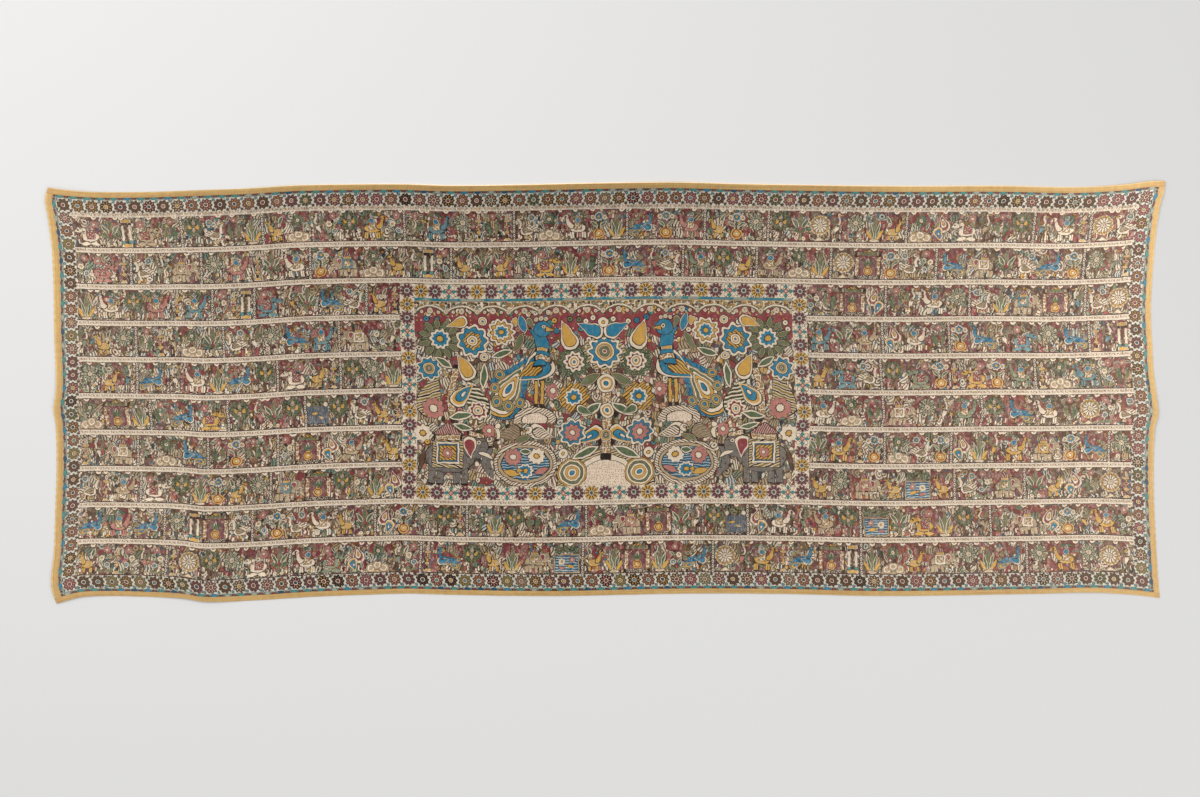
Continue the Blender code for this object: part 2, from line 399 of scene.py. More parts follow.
# The motifs of the registers, each about 86 mm high, its feet near -40.
MOTIFS = {
    "round_tree": [
        box(0, -25, 3, 18, "umber"),
        leaf(11, -36, 10, 3.5, "edged_leaf", turn=28, pair=True),
        flower(0, 12, 28, 27, "leafy", bend=9),
        leaf(16, 0, 7, 3.6, "edged_leaf", around=9, centre=(0, 12)),
        disc(22, 0, 3.0, 3.0, "blossom", around=7, centre=(0, 12)),
        disc(0, 12, 7, 7, "target"),
    ],
    "mango_tree": [
        bow(0, -24, 19, 3, "umber", turn=84, bend=1.4),
        disc(0, 14, 27, 26, "olive_leafy"),
        leaf(18, 0, 9, 3.2, "leaf", around=11, centre=(0, 14)),
        drop(12, 14, 8, 5, "ochre", turn=70, pair=True),
        drop(0, 3, 8, 5, "paisley", turn=-90),
        drop(0, 27, 8, 5, "paisley", turn=90),
        tooth(15, -37, 6, 5, "hill", pair=True),
    ],
    "plantain": [
        box(0, -22, 3.4, 21, "edged_olive"),
        leaf(13, 8, 23, 6.5, "edged_leaf", turn=58, bend=0.5, pair=True),
        leaf(17, -8, 18, 5.5, "leafy", turn=18, bend=0.7, pair=True),
        leaf(0, 20, 21, 6, "edged_olive", turn=90),
        drop(0, -4, 9, 5, "brick", turn=90),
        disc(10, -34, 5, 5, "blossom", pair=True),
    ],
    "elephant": [
        disc(5, -8, 29, 19, "hide"),
        *legs((-12, 1, 19, 29), -29, 22, "hide", thickness=4.4),
        bow(-37, -14, 20, 4, "hide", turn=78, bend=-2.2),
        disc(-24, 4, 14, 14, "hide"),
        drop(-17, 3, 12, 8, "edged_brick", turn=-95),
        leaf(-36, -5, 8, 2, "cream", turn=24, bend=0.6),
        disc(-28, 8, 2.2, 2.2, "eye"),
        box(6, -2, 15, 14, "choice"),
        box(6, -2, 9, 8, "jewels"),
        box(6, 16, 12, 4, "edged_ochre"),
        tooth(6, 28, 14, 8, "brick_folds"),
        disc(6, 38, 3, 3, "ochre"),
        leaf(36, -12, 14, 2, "umber", turn=-76),
    ],
    "horse": [
        drop(35, -8, 18, 4.5, "umber", turn=-112, bend=0.5),
        *legs((-14, -8, 20, 26), -28, 24, "choice", lean=4),
        disc(5, -8, 23, 12, "choice"),
        drop(-20, 10, 22, 9, "choice", turn=118),
        drop(-33, 22, 13, 6, "choice", turn=205),
        leaf(-15, 16, 17, 3.4, "brick", turn=112, bend=0.4),
        disc(-30, 25, 1.6, 1.6, "brown"),
        box(6, -2, 10, 10, "jewels"),
        disc(6, 14, 8, 8, "edged_sky"),
        bow(-30, 17, 8, 1.2, "brick", turn=100),
        disc(6, 30, 6, 6, "sky_blossom"),
        leaf(-2, 33, 12, 3, "leaf", turn=30),
        leaf(20, 33, 12, 3, "olive", turn=150),
    ],
    "deer": [
        *legs((-8, -4, 12, 16), -30, 20, "ochre", lean=3, thickness=1.6),
        disc(3, -13, 17, 10, "spots"),
        drop(-13, 3, 18, 6, "ochre", turn=112),
        drop(-20, 17, 9, 4.6, "ochre", turn=200),
        bow(-10, 30, 13, 1.1, "umber", turn=66, bend=5),
        bow(-18, 31, 12, 1.1, "umber", turn=100, bend=-5),
        leaf(21, -8, 6, 2.4, "cream", turn=60),
        disc(-18, 19, 1.5, 1.5, "brown"),
        leaf(16, 20, 16, 6, "edged_leaf", turn=70, bend=0.4),
        disc(13, 8, 5, 5, "blossom"),
    ],
    "peacock": [
        drop(14, -10, 36, 14, "scales", turn=152, bend=0.3),
        drop(20, -22, 22, 9, "plume", turn=160),
        disc(34, -4, 6, 6, "plume"),
        disc(27, 10, 6, 6, "plume"),
        disc(37, -20, 5, 5, "plume"),
        disc(16, 16, 5, 5, "plume"),
        drop(-10, -8, 18, 11, "edged_sky", turn=14),
        bow(-21, 12, 17, 4, "sky", turn=98, bend=1.3),
        disc(-24, 27, 6, 5, "sky"),
        tooth(-32, 26, 2.4, 5, "ochre", turn=90),
        disc(-24, 28, 1.5, 1.5, "eye"),
        disc(-22, 38, 2.2, 2.2, "target"),
        *legs((-14, -5), -30, 18, "ochre", thickness=1.1),
    ],
    "parrots": [
        bow(0, -30, 24, 2, "umber", bend=-1.2),
        drop(-10, -10, 20, 8, "leaf", turn=-72),
        disc(-13, 8, 7, 6.5, "leaf"),
        tooth(-20, 7, 2.6, 3.4, "brick", turn=110),
        disc(-14, 9, 1.5, 1.5, "eye"),
        drop(12, -8, 19, 7, "edged_olive", turn=-108),
        disc(14, 10, 7, 6, "olive"),
        tooth(21, 9, 2.6, 3.4, "brick", turn=-110),
        disc(15, 11, 1.5, 1.5, "eye"),
        flower(0, 30, 10, 9, "rose_blossom", bend=7),
        leaf(17, 31, 9, 3.5, "edged_leaf", turn=-24, pair=True),
    ],
    "bull": [
        disc(5, -12, 27, 15, "choice"),
        leaf(-8, -34, 16, 5, "choice", turn=6),
        leaf(20, -34, 15, 5, "choice", turn=-6),
        disc(-11, 4, 9, 8, "choice"),
        drop(-27, 4, 13, 8, "choice", turn=200),
        bow(-21, 20, 8, 1.4, "umber", turn=60, bend=3),
        bow(-29, 20, 8, 1.4, "umber", turn=110, bend=-3),
        disc(-28, 6, 1.6, 1.6, "brown"),
        box(9, -8, 12, 12, "brocade"),
        bow(-17, -8, 12, 1.6, "jewels", turn=70, bend=2),
        flower(20, 24, 12, 12, "rose_blossom"),
        leaf(3, 26, 11, 4, "edged_leaf", turn=60),
    ],
    "pond": [
        box(0, -14, 37, 27, "edged_olive"),
        box(0, -14, 33, 23, "water"),
        leaf(-12, -22, 12, 4.4, "ochre", turn=12),
        tooth(2, -19, 3.6, 4, "ochre", turn=-80),
        leaf(14, -26, 11, 4, "rose", turn=190),
        flower(-16, -3, 9, 9, "rose_blossom"),
        flower(14, -8, 10, 10, "blossom"),
        flower(0, 29, 15, 12, "olive_leafy"),
        flower(23, 26, 13, 12, "leafy", pair=True),
    ],
    "pavilion": [
        box(0, -2, 38, 38, "brick"),
        disc(0, 6, 27, 22, "brocade"),
        disc(0, 2, 22, 19, "wine"),
        box(0, -24, 22, 17, "wine"),
        box(31, -6, 4.6, 32, "jewels", pair=True),
        box(0, 30, 37, 4.6, "edged_olive"),
        tooth(0, 39, 20, 5, "ochre_folds"),
        disc(0, -20, 13, 12, "pot"),
        box(0, -7, 6, 3, "ochre"),
        leaf(0, 6, 12, 5, "edged_leaf", turn=90),
        leaf(8, 3, 11, 3.6, "leaf", turn=52, pair=True),
        box(0, -38, 37, 4.5, "check"),
    ],
    "pot_of_flowers": [
        disc(0, -24, 17, 15, "pot"),
        box(0, -8, 9, 3, "edged_ochre"),
        leaf(13, 3, 15, 4.5, "edged_leaf", turn=38, pair=True),
        box(0, 4, 1.6, 14, "leaf"),
        flower(0, 24, 14, 14, "sky_blossom", bend=9),
        flower(17, 22, 8, 8, "blossom", bend=7, pair=True),
        disc(19, -36, 4, 4, "rose_blossom", pair=True),
    ],
    "spray": [
        bow(0, -8, 34, 1.4, "leaf", turn=88, bend=2.4),
        flower(4, 30, 11, 11, "rose_blossom"),
        flower(-8, 6, 9, 9, "blossom", bend=7),
        flower(8, -14, 9, 9, "sky_blossom", bend=7),
        leaf(11, 10, 10, 4, "edged_leaf", turn=40),
        leaf(-10, -10, 10, 4, "edged_leaf", turn=140),
        leaf(10, -33, 10, 4, "edged_olive", turn=20, pair=True),
    ],
    "mangoes": [
        drop(-3, 12, 27, 17, "paisley", turn=72),
        drop(8, -20, 21, 14, "blue_paisley", turn=-110),
        leaf(-17, -20, 14, 4, "edged_leaf", turn=80, bend=0.5),
        leaf(19, 20, 14, 4, "edged_leaf", turn=96, bend=-0.5),
        disc(-16, -38, 3.5, 3.5, "blossom"),
    ],
    "wheel": [
        disc(0, 4, 29, 29, "wheel"),
        leaf(15, 0, 9, 2.6, "cream", around=12, centre=(0, 4)),
        disc(25, 0, 2.4, 2.4, "ochre", around=16, centre=(0, 4)),
        disc(0, 4, 7, 7, "target"),
        tooth(0, -34, 20, 7, "hill"),
        leaf(22, -35, 8, 3, "edged_leaf", turn=24, pair=True),
    ],
    "hill": [
        disc(0, -38, 34, 26, "hill"),
        disc(18, -30, 14, 13, "hill", pair=True),
        disc(0, -22, 13, 12, "hill"),
        box(0, -2, 1.8, 10, "umber"),
        flower(0, 19, 18, 18, "leafy"),
        disc(0, 19, 5, 5, "blossom"),
        leaf(20, 2, 14, 4, "edged_leaf", turn=66, pair=True),
    ],
    "goose": [
        drop(16, -4, 20, 8, "folds", turn=150, bend=0.6),
        disc(0, -14, 18, 12, "cream"),
        drop(4, -13, 15, 8, "fine_folds", turn=-8),
        bow(-17, 8, 18, 3.6, "cream", turn=100, bend=-1.6),
        disc(-15, 26, 6, 5, "cream"),
        leaf(-23, 24, 5, 2, "ochre", turn=16),
        disc(-16, 27, 1.4, 1.4, "brown"),
        *legs((-4, 5), -32, 14, "ochre", thickness=1.2),
        flower(15, 24, 11, 11, "sky_blossom"),
    ],
    "bathing_place": [
        box(0, 27, 31, 12, "olive_leafy"),
        box(0, 13, 31, 1.6, "brick"),
        box(0, -12, 30, 25, "slate"),
        disc(24, 20, 6, 6, "cream", pair=True),
        leaf(-8, -18, 10, 3.6, "sand", turn=14),
        leaf(10, -6, 10, 3.6, "ochre", turn=170),
        box(0, -39, 31, 2.6, "check"),
    ],
    "fronds": [
        leaf(0, -2, 38, 7, "edged_olive", turn=90),
        leaf(9, -10, 30, 5, "edged_leaf", turn=76, pair=True),
        leaf(15, -22, 20, 4.4, "ochre", turn=60, pair=True),
        disc(0, 36, 4, 4, "rose_blossom"),
        disc(0, -38, 18, 4, "hill"),
    ],
    "lamp": [
        tooth(0, -34, 13, 7, "edged_ochre"),
        box(0, -6, 2, 26, "ochre"),
        disc(0, -16, 7, 3.6, "edged_ochre"),
        disc(0, 0, 9, 3.6, "edged_brick"),
        disc(0, 16, 11, 4, "edged_ochre"),
        leaf(0, 28, 9, 4.6, "blossom", turn=90),
        disc(12, 34, 3, 3, "blossom", pair=True),
    ],
    "pillars": [
        box(10, -2, 3.4, 30, "cream", pair=True),
        box(0, -2, 2.6, 30, "umber"),
        box(0, 34, 17, 4.6, "edged_ochre"),
        box(0, -37, 17, 5, "edged_ochre"),
        box(10, -28, 5, 4, "teal", pair=True),
    ],
    "crane": [
        *legs((-4, 2), -26, 28, "umber", thickness=1.0),
        drop(2, -4, 17, 10, "fine_folds", turn=-64),
        drop(4, -8, 13, 6, "choice", turn=-70),
        bow(-6, 18, 16, 2.6, "cream", turn=84, bend=2.4),
        disc(-2, 34, 4.6, 4, "cream"),
        leaf(-10, 33, 7, 1.6, "ochre", turn=6),
        leaf(13, 16, 18, 4, "edged_olive", turn=80, bend=-0.6),
    ],
}

# How many grid columns each motif takes, and how often it is drawn.
# Columns: motif, grid columns, weight.
MOTIF_WIDTHS = [
    ("round_tree", 6, 9),
    ("mango_tree", 6, 7),
    ("plantain", 5, 6),
    ("elephant", 9, 7),
    ("horse", 8, 8),
    ("deer", 6, 8),
    ("peacock", 8, 7),
    ("parrots", 5, 8),
    ("bull", 8, 6),
    ("pond", 8, 2),
    ("pavilion", 8, 3),
    ("pot_of_flowers", 5, 7),
    ("spray", 4, 8),
    ("mangoes", 5, 5),
    ("wheel", 6, 3),
    ("hill", 7, 5),
    ("goose", 6, 7),
    ("bathing_place", 6, 1),
    ("fronds", 5, 6),
    ("lamp", 3, 8),
    ("pillars", 4, 2),
    ("crane", 4, 11),
]
DIVIDER_EVERY = (3, 7)

# The centre panel's blocks, left half, from the outer side in. The right half mirrors them.
# Columns: block, first grid column, grid columns, first grid row, grid rows, facing.
PANEL_BLOCKS = [
    ("grove", 0, 21, 19, 32, 1),
    ("state_elephant", 0, 22, 0, 19, -1),
    ("great_peacock", 21, 19, 19, 32, 1),
    ("lotus_tank", 22, 18, 0, 19, 1),
    ("life_tree", 40, 28, 0, 51, 1),
]

PANEL_MOTIFS = {
    "grove": [
        drop(-64, -66, 74, 34, "wide_folds", turn=76),
        drop(62, -74, 66, 30, "green_folds", turn=112),
        bow(-6, -70, 84, 10, "jewels", turn=86, bend=1.2),
        bow(52, 10, 44, 5, "umber", turn=48, bend=2.0),
        flower(-34, 88, 66, 58, "leafy", bend=11),
        leaf(46, 0, 17, 8, "edged_olive", around=11, centre=(-34, 88)),
        flower(-34, 88, 31, 30, "sky_blossom", bend=10),
        flower(60, 84, 50, 50, "edged_sky", bend=9),
        flower(60, 84, 27, 27, "ochre_folds"),
        disc(60, 84, 15, 15, "target"),
        flower(-70, 2, 38, 37, "edged_sky", bend=9),
        disc(-70, 2, 17, 17, "wheel"),
        drop(34, 8, 42, 25, "edged_ochre", turn=118),
        drop(30, -70, 44, 24, "blue_paisley", turn=48),
        flower(-58, -114, 34, 32, "rose_blossom", bend=9),
        flower(70, -118, 30, 28, "edged_brick", bend=9),
        disc(70, -118, 14, 14, "target"),
        leaf(20, -134, 38, 12, "edged_leaf", turn=8),
        leaf(88, -20, 40, 12, "edged_leaf", turn=84),
        leaf(-26, 20, 30, 11, "edged_leaf", turn=150),
        disc(92, 36, 12, 12, "target"),
        drop(16, 134, 34, 17, "edged_ochre", turn=-160),
        disc(92, 140, 12, 12, "target"),
    ],
    "state_elephant": [
        *legs((-28, -4, 44, 68), -58, 56, "grey_hide", thickness=9),
        disc(16, -6, 72, 46, "grey_hide"),
        bow(-90, -28, 48, 11, "grey_hide", turn=76, bend=-2.2),
        disc(-58, 24, 36, 35, "grey_hide"),
        drop(-42, 20, 33, 22, "edged_brick", turn=-96),
        leaf(-88, 0, 24, 5.5, "cream", turn=24, bend=0.6),
        disc(-68, 36, 5.5, 5.5, "eye"),
        box(-60, 58, 26, 6, "jewels", turn=12),
        box(22, 4, 44, 42, "wide_folds"),
        box(22, 4, 33, 31, "edged_sky"),
        box(22, 4, 23, 21, "ochre_folds"),
        flower(22, 4, 15, 15, "rose_blossom"),
        box(22, 52, 40, 10, "jewels"),
        tooth(22, 76, 46, 17, "brick_folds"),
        leaf(98, -18, 38, 6, "umber", turn=-78),
        flower(94, 60, 26, 26, "blossom"),
        leaf(-22, 80, 32, 10, "edged_leaf", turn=16),
        flower(-98, 70, 20, 20, "rose_blossom"),
    ],
    "great_peacock": [
        *legs((36, 54), -66, 92, "ochre", thickness=4.2),
        drop(-36, -44, 108, 62, "scales", turn=54),
        drop(-44, -56, 88, 48, "banded", turn=56),
        disc(-78, -92, 16, 16, "plume"),
        disc(-44, -106, 16, 16, "plume"),
        disc(-84, -52, 15, 15, "plume"),
        disc(-10, -96, 14, 14, "plume"),
        disc(-70, -14, 14, 14, "plume"),
        drop(34, 0, 58, 42, "edged_sky", turn=214),
        drop(18, -4, 40, 20, "ochre_folds", turn=206),
        bow(60, 66, 56, 18, "sky", turn=94, bend=-0.9),
        disc(62, 116, 25, 22, "sky"),
        tooth(86, 114, 8, 15, "ochre", turn=-98),
        disc(66, 122, 6, 5.4, "eye"),
        disc(44, 144, 6, 6, "target"),
        disc(58, 147, 6, 6, "target"),
        disc(72, 145, 6, 6, "target"),
        flower(-16, 138, 15, 14, "edged_ochre"),
        drop(28, 132, 20, 9, "edged_olive", turn=-70),
        bow(60, 34, 25, 6.5, "jewels", turn=-12, bend=0.9),
        bow(58, 58, 19, 4.5, "edged_ochre", turn=-6, bend=0.6),
        disc(30, -146, 62, 36, "folds"),
        disc(30, -146, 38, 20, "dotted"),
        flower(-58, 108, 42, 40, "edged_ochre", bend=10),
        flower(-58, 108, 25, 24, "sky_blossom", bend=9),
        leaf(-8, 78, 32, 11, "edged_olive", turn=64),
        leaf(4, 132, 30, 12, "edged_sky", turn=108),
        leaf(-60, 46, 34, 11, "edged_leaf", turn=18),
        flower(84, -62, 22, 22, "rose_blossom"),
    ],
    "lotus_tank": [
        disc(0, -26, 92, 66, "folds"),
        disc(0, -26, 80, 55, "edged_olive"),
        disc(0, -26, 70, 46, "water"),
        flower(-36, -6, 27, 25, "rose_blossom", bend=10),
        flower(32, -4, 26, 24, "blossom", bend=10),
        flower(0, -46, 26, 22, "sky_blossom", bend=10),
        leaf(-40, -52, 24, 9, "ochre", turn=-14),
        tooth(-14, -46, 7, 9, "ochre", turn=-96),
        leaf(46, -46, 22, 8, "rose", turn=200),
        leaf(0, 10, 17, 9, "edged_leaf"),
        drop(-52, 60, 38, 21, "fine_folds", turn=198),
        bow(-78, 64, 22, 5, "cream", turn=100, bend=-1.6),
        disc(-80, 84, 8, 7, "cream"),
        drop(46, 62, 40, 22, "cream", turn=-18),
        drop(50, 60, 30, 14, "folds", turn=-18),
        disc(8, 72, 11, 10, "cream"),
        tooth(-6, 70, 4, 7, "ochre", turn=96),
        disc(6, 74, 3, 3, "eye"),
        leaf(-8, 46, 26, 9, "edged_olive", turn=20),
    ],
    "life_tree": [
        disc(0, -246, 140, 104, "wide_folds", pair=True),
        disc(0, -240, 92, 82, "edged_ochre", pair=True),
        disc(0, -240, 76, 68, "dotted", pair=True),
        disc(98, -208, 42, 40, "banded", pair=True),
        leaf(60, -150, 44, 14, "edged_leaf", turn=-24, pair=True),
        box(0, -20, 13, 150, "jewels"),
        bow(54, -84, 54, 7, "umber", turn=28, bend=2.4, pair=True),
        bow(58, 4, 58, 7, "umber", turn=34, bend=2.4, pair=True),
        bow(52, 96, 52, 7, "umber", turn=42, bend=2.4, pair=True),
        drop(48, -104, 44, 22, "blue_paisley", turn=-30, pair=True),
        flower(98, -92, 42, 42, "edged_sky", bend=9, pair=True),
        flower(98, -92, 26, 25, "rose_blossom", bend=9, pair=True),
        flower(94, 10, 46, 44, "ochre_folds", bend=10, pair=True),
        flower(94, 10, 28, 27, "sky_blossom", bend=9, pair=True),
        flower(90, 112, 50, 48, "leafy", bend=11, pair=True),
        flower(90, 112, 31, 30, "edged_brick", bend=9, pair=True),
        disc(90, 112, 17, 17, "target", pair=True),
        flower(0, 140, 62, 60, "wide_folds", bend=12),
        flower(0, 140, 52, 51, "edged_sky", bend=10),
        disc(0, 140, 27, 27, "wheel"),
        leaf(44, -26, 36, 13, "edged_leaf", turn=150, pair=True),
        leaf(46, 60, 36, 13, "edged_olive", turn=150, pair=True),
        drop(40, 206, 42, 22, "edged_sky", turn=24, pair=True),
        drop(106, 190, 46, 26, "edged_ochre", turn=70, pair=True),
        drop(64, -30, 26, 13, "parrot", turn=204, pair=True),
        disc(0, 48, 26, 26, "target"),
        disc(0, -30, 20, 20, "target"),
        disc(0, -100, 17, 17, "wheel"),
        disc(0, 224, 15, 15, "blossom"),
        disc(124, -152, 14, 14, "blossom", pair=True),
    ],
}


def dye(name):
    """A dye's colour as a linear RGBA value. The dye called clear covers nothing."""
    if name == "clear":
        return (0.0, 0.0, 0.0, 0.0)
    channels = [value / 255 for value in DYES[name]]
    return tuple(
        c / 12.92 if c <= 0.04045 else ((c + 0.055) / 1.055) ** 2.4 for c in channels
    ) + (1.0,)


class Painter:
    """Draws flat shapes one over another with a material's nodes.

    Its spaces are the planes to draw in, in mm. Its sources are the colours of inks that
    differ from place to place.
    """

    def __init__(self, tree, line=PEN_LINE):
        self.tree = tree
        self.line = line
        self.spaces = {}
        self.sources = {}

    def add(self, kind, inputs=(), **settings):
        """A node with its settings, and its inputs in order or by name: links, values or dyes."""
        node = self.tree.nodes.new(kind)
        for name, value in settings.items():
            setattr(node, name, value)
        for key, value in inputs.items() if isinstance(inputs, dict) else enumerate(inputs):
            if isinstance(value, bpy.types.NodeSocket):
                self.tree.links.new(value, node.inputs[key])
            else:
                node.inputs[key].default_value = dye(value) if isinstance(value, str) else value
        return node

    def math(self, operation, *values):
        """A number worked out from numbers."""
        return self.add("ShaderNodeMath", values, operation=operation).outputs[0]

    def times(self, value, factor):
        """One number times another."""
        return self.math("MULTIPLY", value, factor)

    def linear(self, value, slope, start):
        """A number times a slope, plus a start."""
        return self.math("MULTIPLY_ADD", value, slope, start)

    def above(self, value, limit):
        """1 where a number is above a limit, 0 elsewhere."""
        return self.math("GREATER_THAN", value, limit)

    def below(self, value, limit):
        """1 where a number is below a limit, 0 elsewhere."""
        return self.math("LESS_THAN", value, limit)

    def vector(self, operation, *values):
        """A vector worked out from vectors."""
        return self.add("ShaderNodeVectorMath", values, operation=operation).outputs[0]

    def scale(self, value, factor):
        """A vector times a number."""
        inputs = {"Vector": value, "Scale": factor}
        return self.add("ShaderNodeVectorMath", inputs, operation="SCALE").outputs[0]

    def length(self, value):
        """A vector's length."""
        return self.add("ShaderNodeVectorMath", [value], operation="LENGTH").outputs["Value"]

    def split(self, value, count=2):
        """The first numbers of a vector: x and y, or all three."""
        return self.add("ShaderNodeSeparateXYZ", [value]).outputs[:count]

    def join(self, x, y):
        """A vector from its x and y."""
        return self.add("ShaderNodeCombineXYZ", [x, y]).outputs[0]

    def noise(self, point, grain, detail=1.0):
        """Soft spots, about as wide as the grain."""
        inputs = {"Vector": point, "Scale": 1 / grain, "Detail": detail}
        return self.add("ShaderNodeTexNoise", inputs, noise_dimensions="2D").outputs

    def cells(self, point, grain, randomness=0.8, feature="F1"):
        """Cells about as wide as the grain, each with its own number."""
        inputs = {"Vector": point, "Scale": 1 / grain, "Randomness": randomness}
        settings = {"voronoi_dimensions": "2D", "feature": feature}
        return self.add("ShaderNodeTexVoronoi", inputs, **settings).outputs

    def mix(self, share, under, over):
        """One colour over another. The node's sockets 6, 7 and 2 are those of colours."""
        inputs = {0: share, 6: under, 7: over}
        return self.add("ShaderNodeMix", inputs, data_type="RGBA").outputs[2]

    def steps(self, value, stops):
        """A colour and its cover, with hard steps between (place, dye) pairs."""
        node = self.add("ShaderNodeValToRGB", [value])
        ramp = node.color_ramp
        ramp.interpolation = "CONSTANT"
        while len(ramp.elements) > 1:
            ramp.elements.remove(ramp.elements[0])
        ramp.elements[0].position = 0.0
        ramp.elements[0].color = dye(stops[0][1])
        for place, name in stops[1:]:
            ramp.elements.new(min(place, 1.0)).color = dye(name)
        return node.outputs[:2]

    def one_of(self, value, names):
        """One of several dyes, by a number from 0 to 1."""
        return self.steps(value, [(i / len(names), name) for i, name in enumerate(names)])[0]

    def attribute(self, name):
        """A number that each face carries."""
        return self.add("ShaderNodeAttribute", attribute_name=name).outputs["Fac"]

    def map(self, name):
        """A UV map of the cloth."""
        return self.add("ShaderNodeUVMap", uv_map=name).outputs[0]

    def start(self, point):
        """Begin to draw in a plane of millimetres."""
        self.spaces = {"all": point}

    def mirrored(self):
        """The plane folded over at x = 0, so that what is drawn comes in pairs."""
        if "pair" not in self.spaces:
            x, y = self.split(self.spaces["all"])
            self.spaces["pair"] = self.join(self.math("ABSOLUTE", x), y)
        return self.spaces["pair"]

    def folded(self, count, centre):
        """The plane folded round a centre, so that what is drawn is repeated round it."""
        key = (count, centre)
        if key not in self.spaces:
            from_centre = self.vector("SUBTRACT", self.spaces["all"], (*centre, 0))
            x, y = self.split(from_centre)
            radius = self.length(from_centre)
            half_step = math.pi / count
            angle = self.math("WRAP", self.math("ARCTAN2", y, x), half_step, -half_step)
            x = self.times(radius, self.math("COSINE", angle))
            y = self.times(radius, self.math("SINE", angle))
            self.spaces[key] = self.join(x, y)
        return self.spaces[key]

    def reach(self, shape):
        """How far out a point lies in a shape: 0 in the middle, 1 at its line's outer side."""
        space = self.spaces["all"]
        if shape.pair:
            space = self.mirrored()
        if shape.around:
            space = self.folded(shape.around, shape.centre)
        turn = (0, 0, math.radians(shape.turn))
        size = (shape.half_length + self.line, shape.half_width + self.line, 1)
        inputs = [space, (shape.x, shape.y, 0), turn, size]
        local = self.add("ShaderNodeMapping", inputs, vector_type="TEXTURE").outputs[0]
        if shape.kind == "disc":
            return self.length(local)
        x, y = self.split(local)
        if shape.kind == "flower":
            petals = self.times(self.math("ARCTAN2", y, x), shape.bend)
            lobes = self.linear(self.math("COSINE", petals), 0.1, 0.9)
            return self.math("DIVIDE", self.length(local), lobes)
        if shape.kind == "tooth":
            side = self.linear(y, 0.5, 0.5)
            side = self.math("ADD", self.math("ABSOLUTE", x), side)
            return self.math("MAXIMUM", side, self.times(y, -1.0))
        if shape.kind == "drop":
            narrow = self.linear(x, -0.72, 0.78)
            return self.length(self.join(x, self.math("DIVIDE", y, narrow)))
        square = self.times(x, x)
        if shape.bend:
            y = self.linear(square, shape.bend, y)
        side = self.math("ABSOLUTE", y)
        if shape.kind == "leaf":
            return self.math("ADD", side, square)
        return self.math("MAXIMUM", side, self.math("ABSOLUTE", x))

    def pattern(self, name):
        """The colour of an ink that has fine drawing in it."""
        texture, grain, turn, stops = PATTERNS[name]
        inputs = [self.spaces["all"], (0, 0, 0), (0, 0, math.radians(turn))]
        point = self.add("ShaderNodeMapping", inputs).outputs[0]
        if texture == "lines":
            node = self.add("ShaderNodeTexWave", [point, 0.314 / grain, 1.6, 2.0, 0.8])
            value = node.outputs["Fac"]
        else:
            value = self.cells(point, grain, 0.7)["Distance"]
        return self.steps(value, stops)[0]

    def source(self, ink):
        """The colour of an ink that differs from place to place, or None for a plain one."""
        if ink not in self.sources:
            if ink == "choice":
                self.sources[ink] = self.one_of(self.attribute("pick"), CHOICE_DYES)
            elif ink in PATTERNS:
                self.sources[ink] = self.pattern(ink)
        return self.sources.get(ink)

    def draw(self, shape, under):
        """Lay a shape with its dark line over a colour."""
        smaller = min(shape.half_length, shape.half_width)
        edge = smaller / (smaller + self.line)
        reach = self.reach(shape)
        source = self.source(shape.ink)
        rings = [(0, "cream")] if source else RINGS.get(shape.ink, [(0, shape.ink)])
        stops = [(place * edge, ink) for place, ink in rings]
        stops += [(edge, "brown"), (1.0, "clear")]
        colour, cover = self.steps(reach, stops)
        over = self.mix(cover, under, colour)
        if source is None:
            return over
        return self.mix(self.below(reach, edge), over, source)

    def draw_all(self, shapes, under):
        """Lay shapes in order over a colour."""
        for shape in shapes:
            under = self.draw(shape, under)
        return under


def wobbled(pen, point, cloth_mm, amount=2.6, grain=13):
    """A plane with the unsteadiness of a hand-held pen."""
    offset = pen.vector("SUBTRACT", pen.noise(cloth_mm, grain)["Color"], (0.5, 0.5, 0.5))
    x, y = pen.split(pen.vector("ADD", point, pen.scale(offset, amount * 2)))
    return pen.join(x, y)


def strokes(pen, cloth_mm, grain):
    """Fine upright pen strokes in many dyes, with thin dark lines round them."""
    point = wobbled(pen, cloth_mm, cloth_mm, 3.0, 22)
    point = wobbled(pen, point, cloth_mm, 1.5, 4.6)
    upright = pen.vector("MULTIPLY", point, (1.0, 0.62, 0.0))
    pick = pen.split(pen.cells(upright, grain, 0.95)["Color"])[0]
    edge = pen.cells(upright, grain, 0.95, "DISTANCE_TO_EDGE")["Distance"]
    line = pen.below(edge, 0.07)
    return pen.mix(line, pen.one_of(pick, STROKE_DYES), "brown")


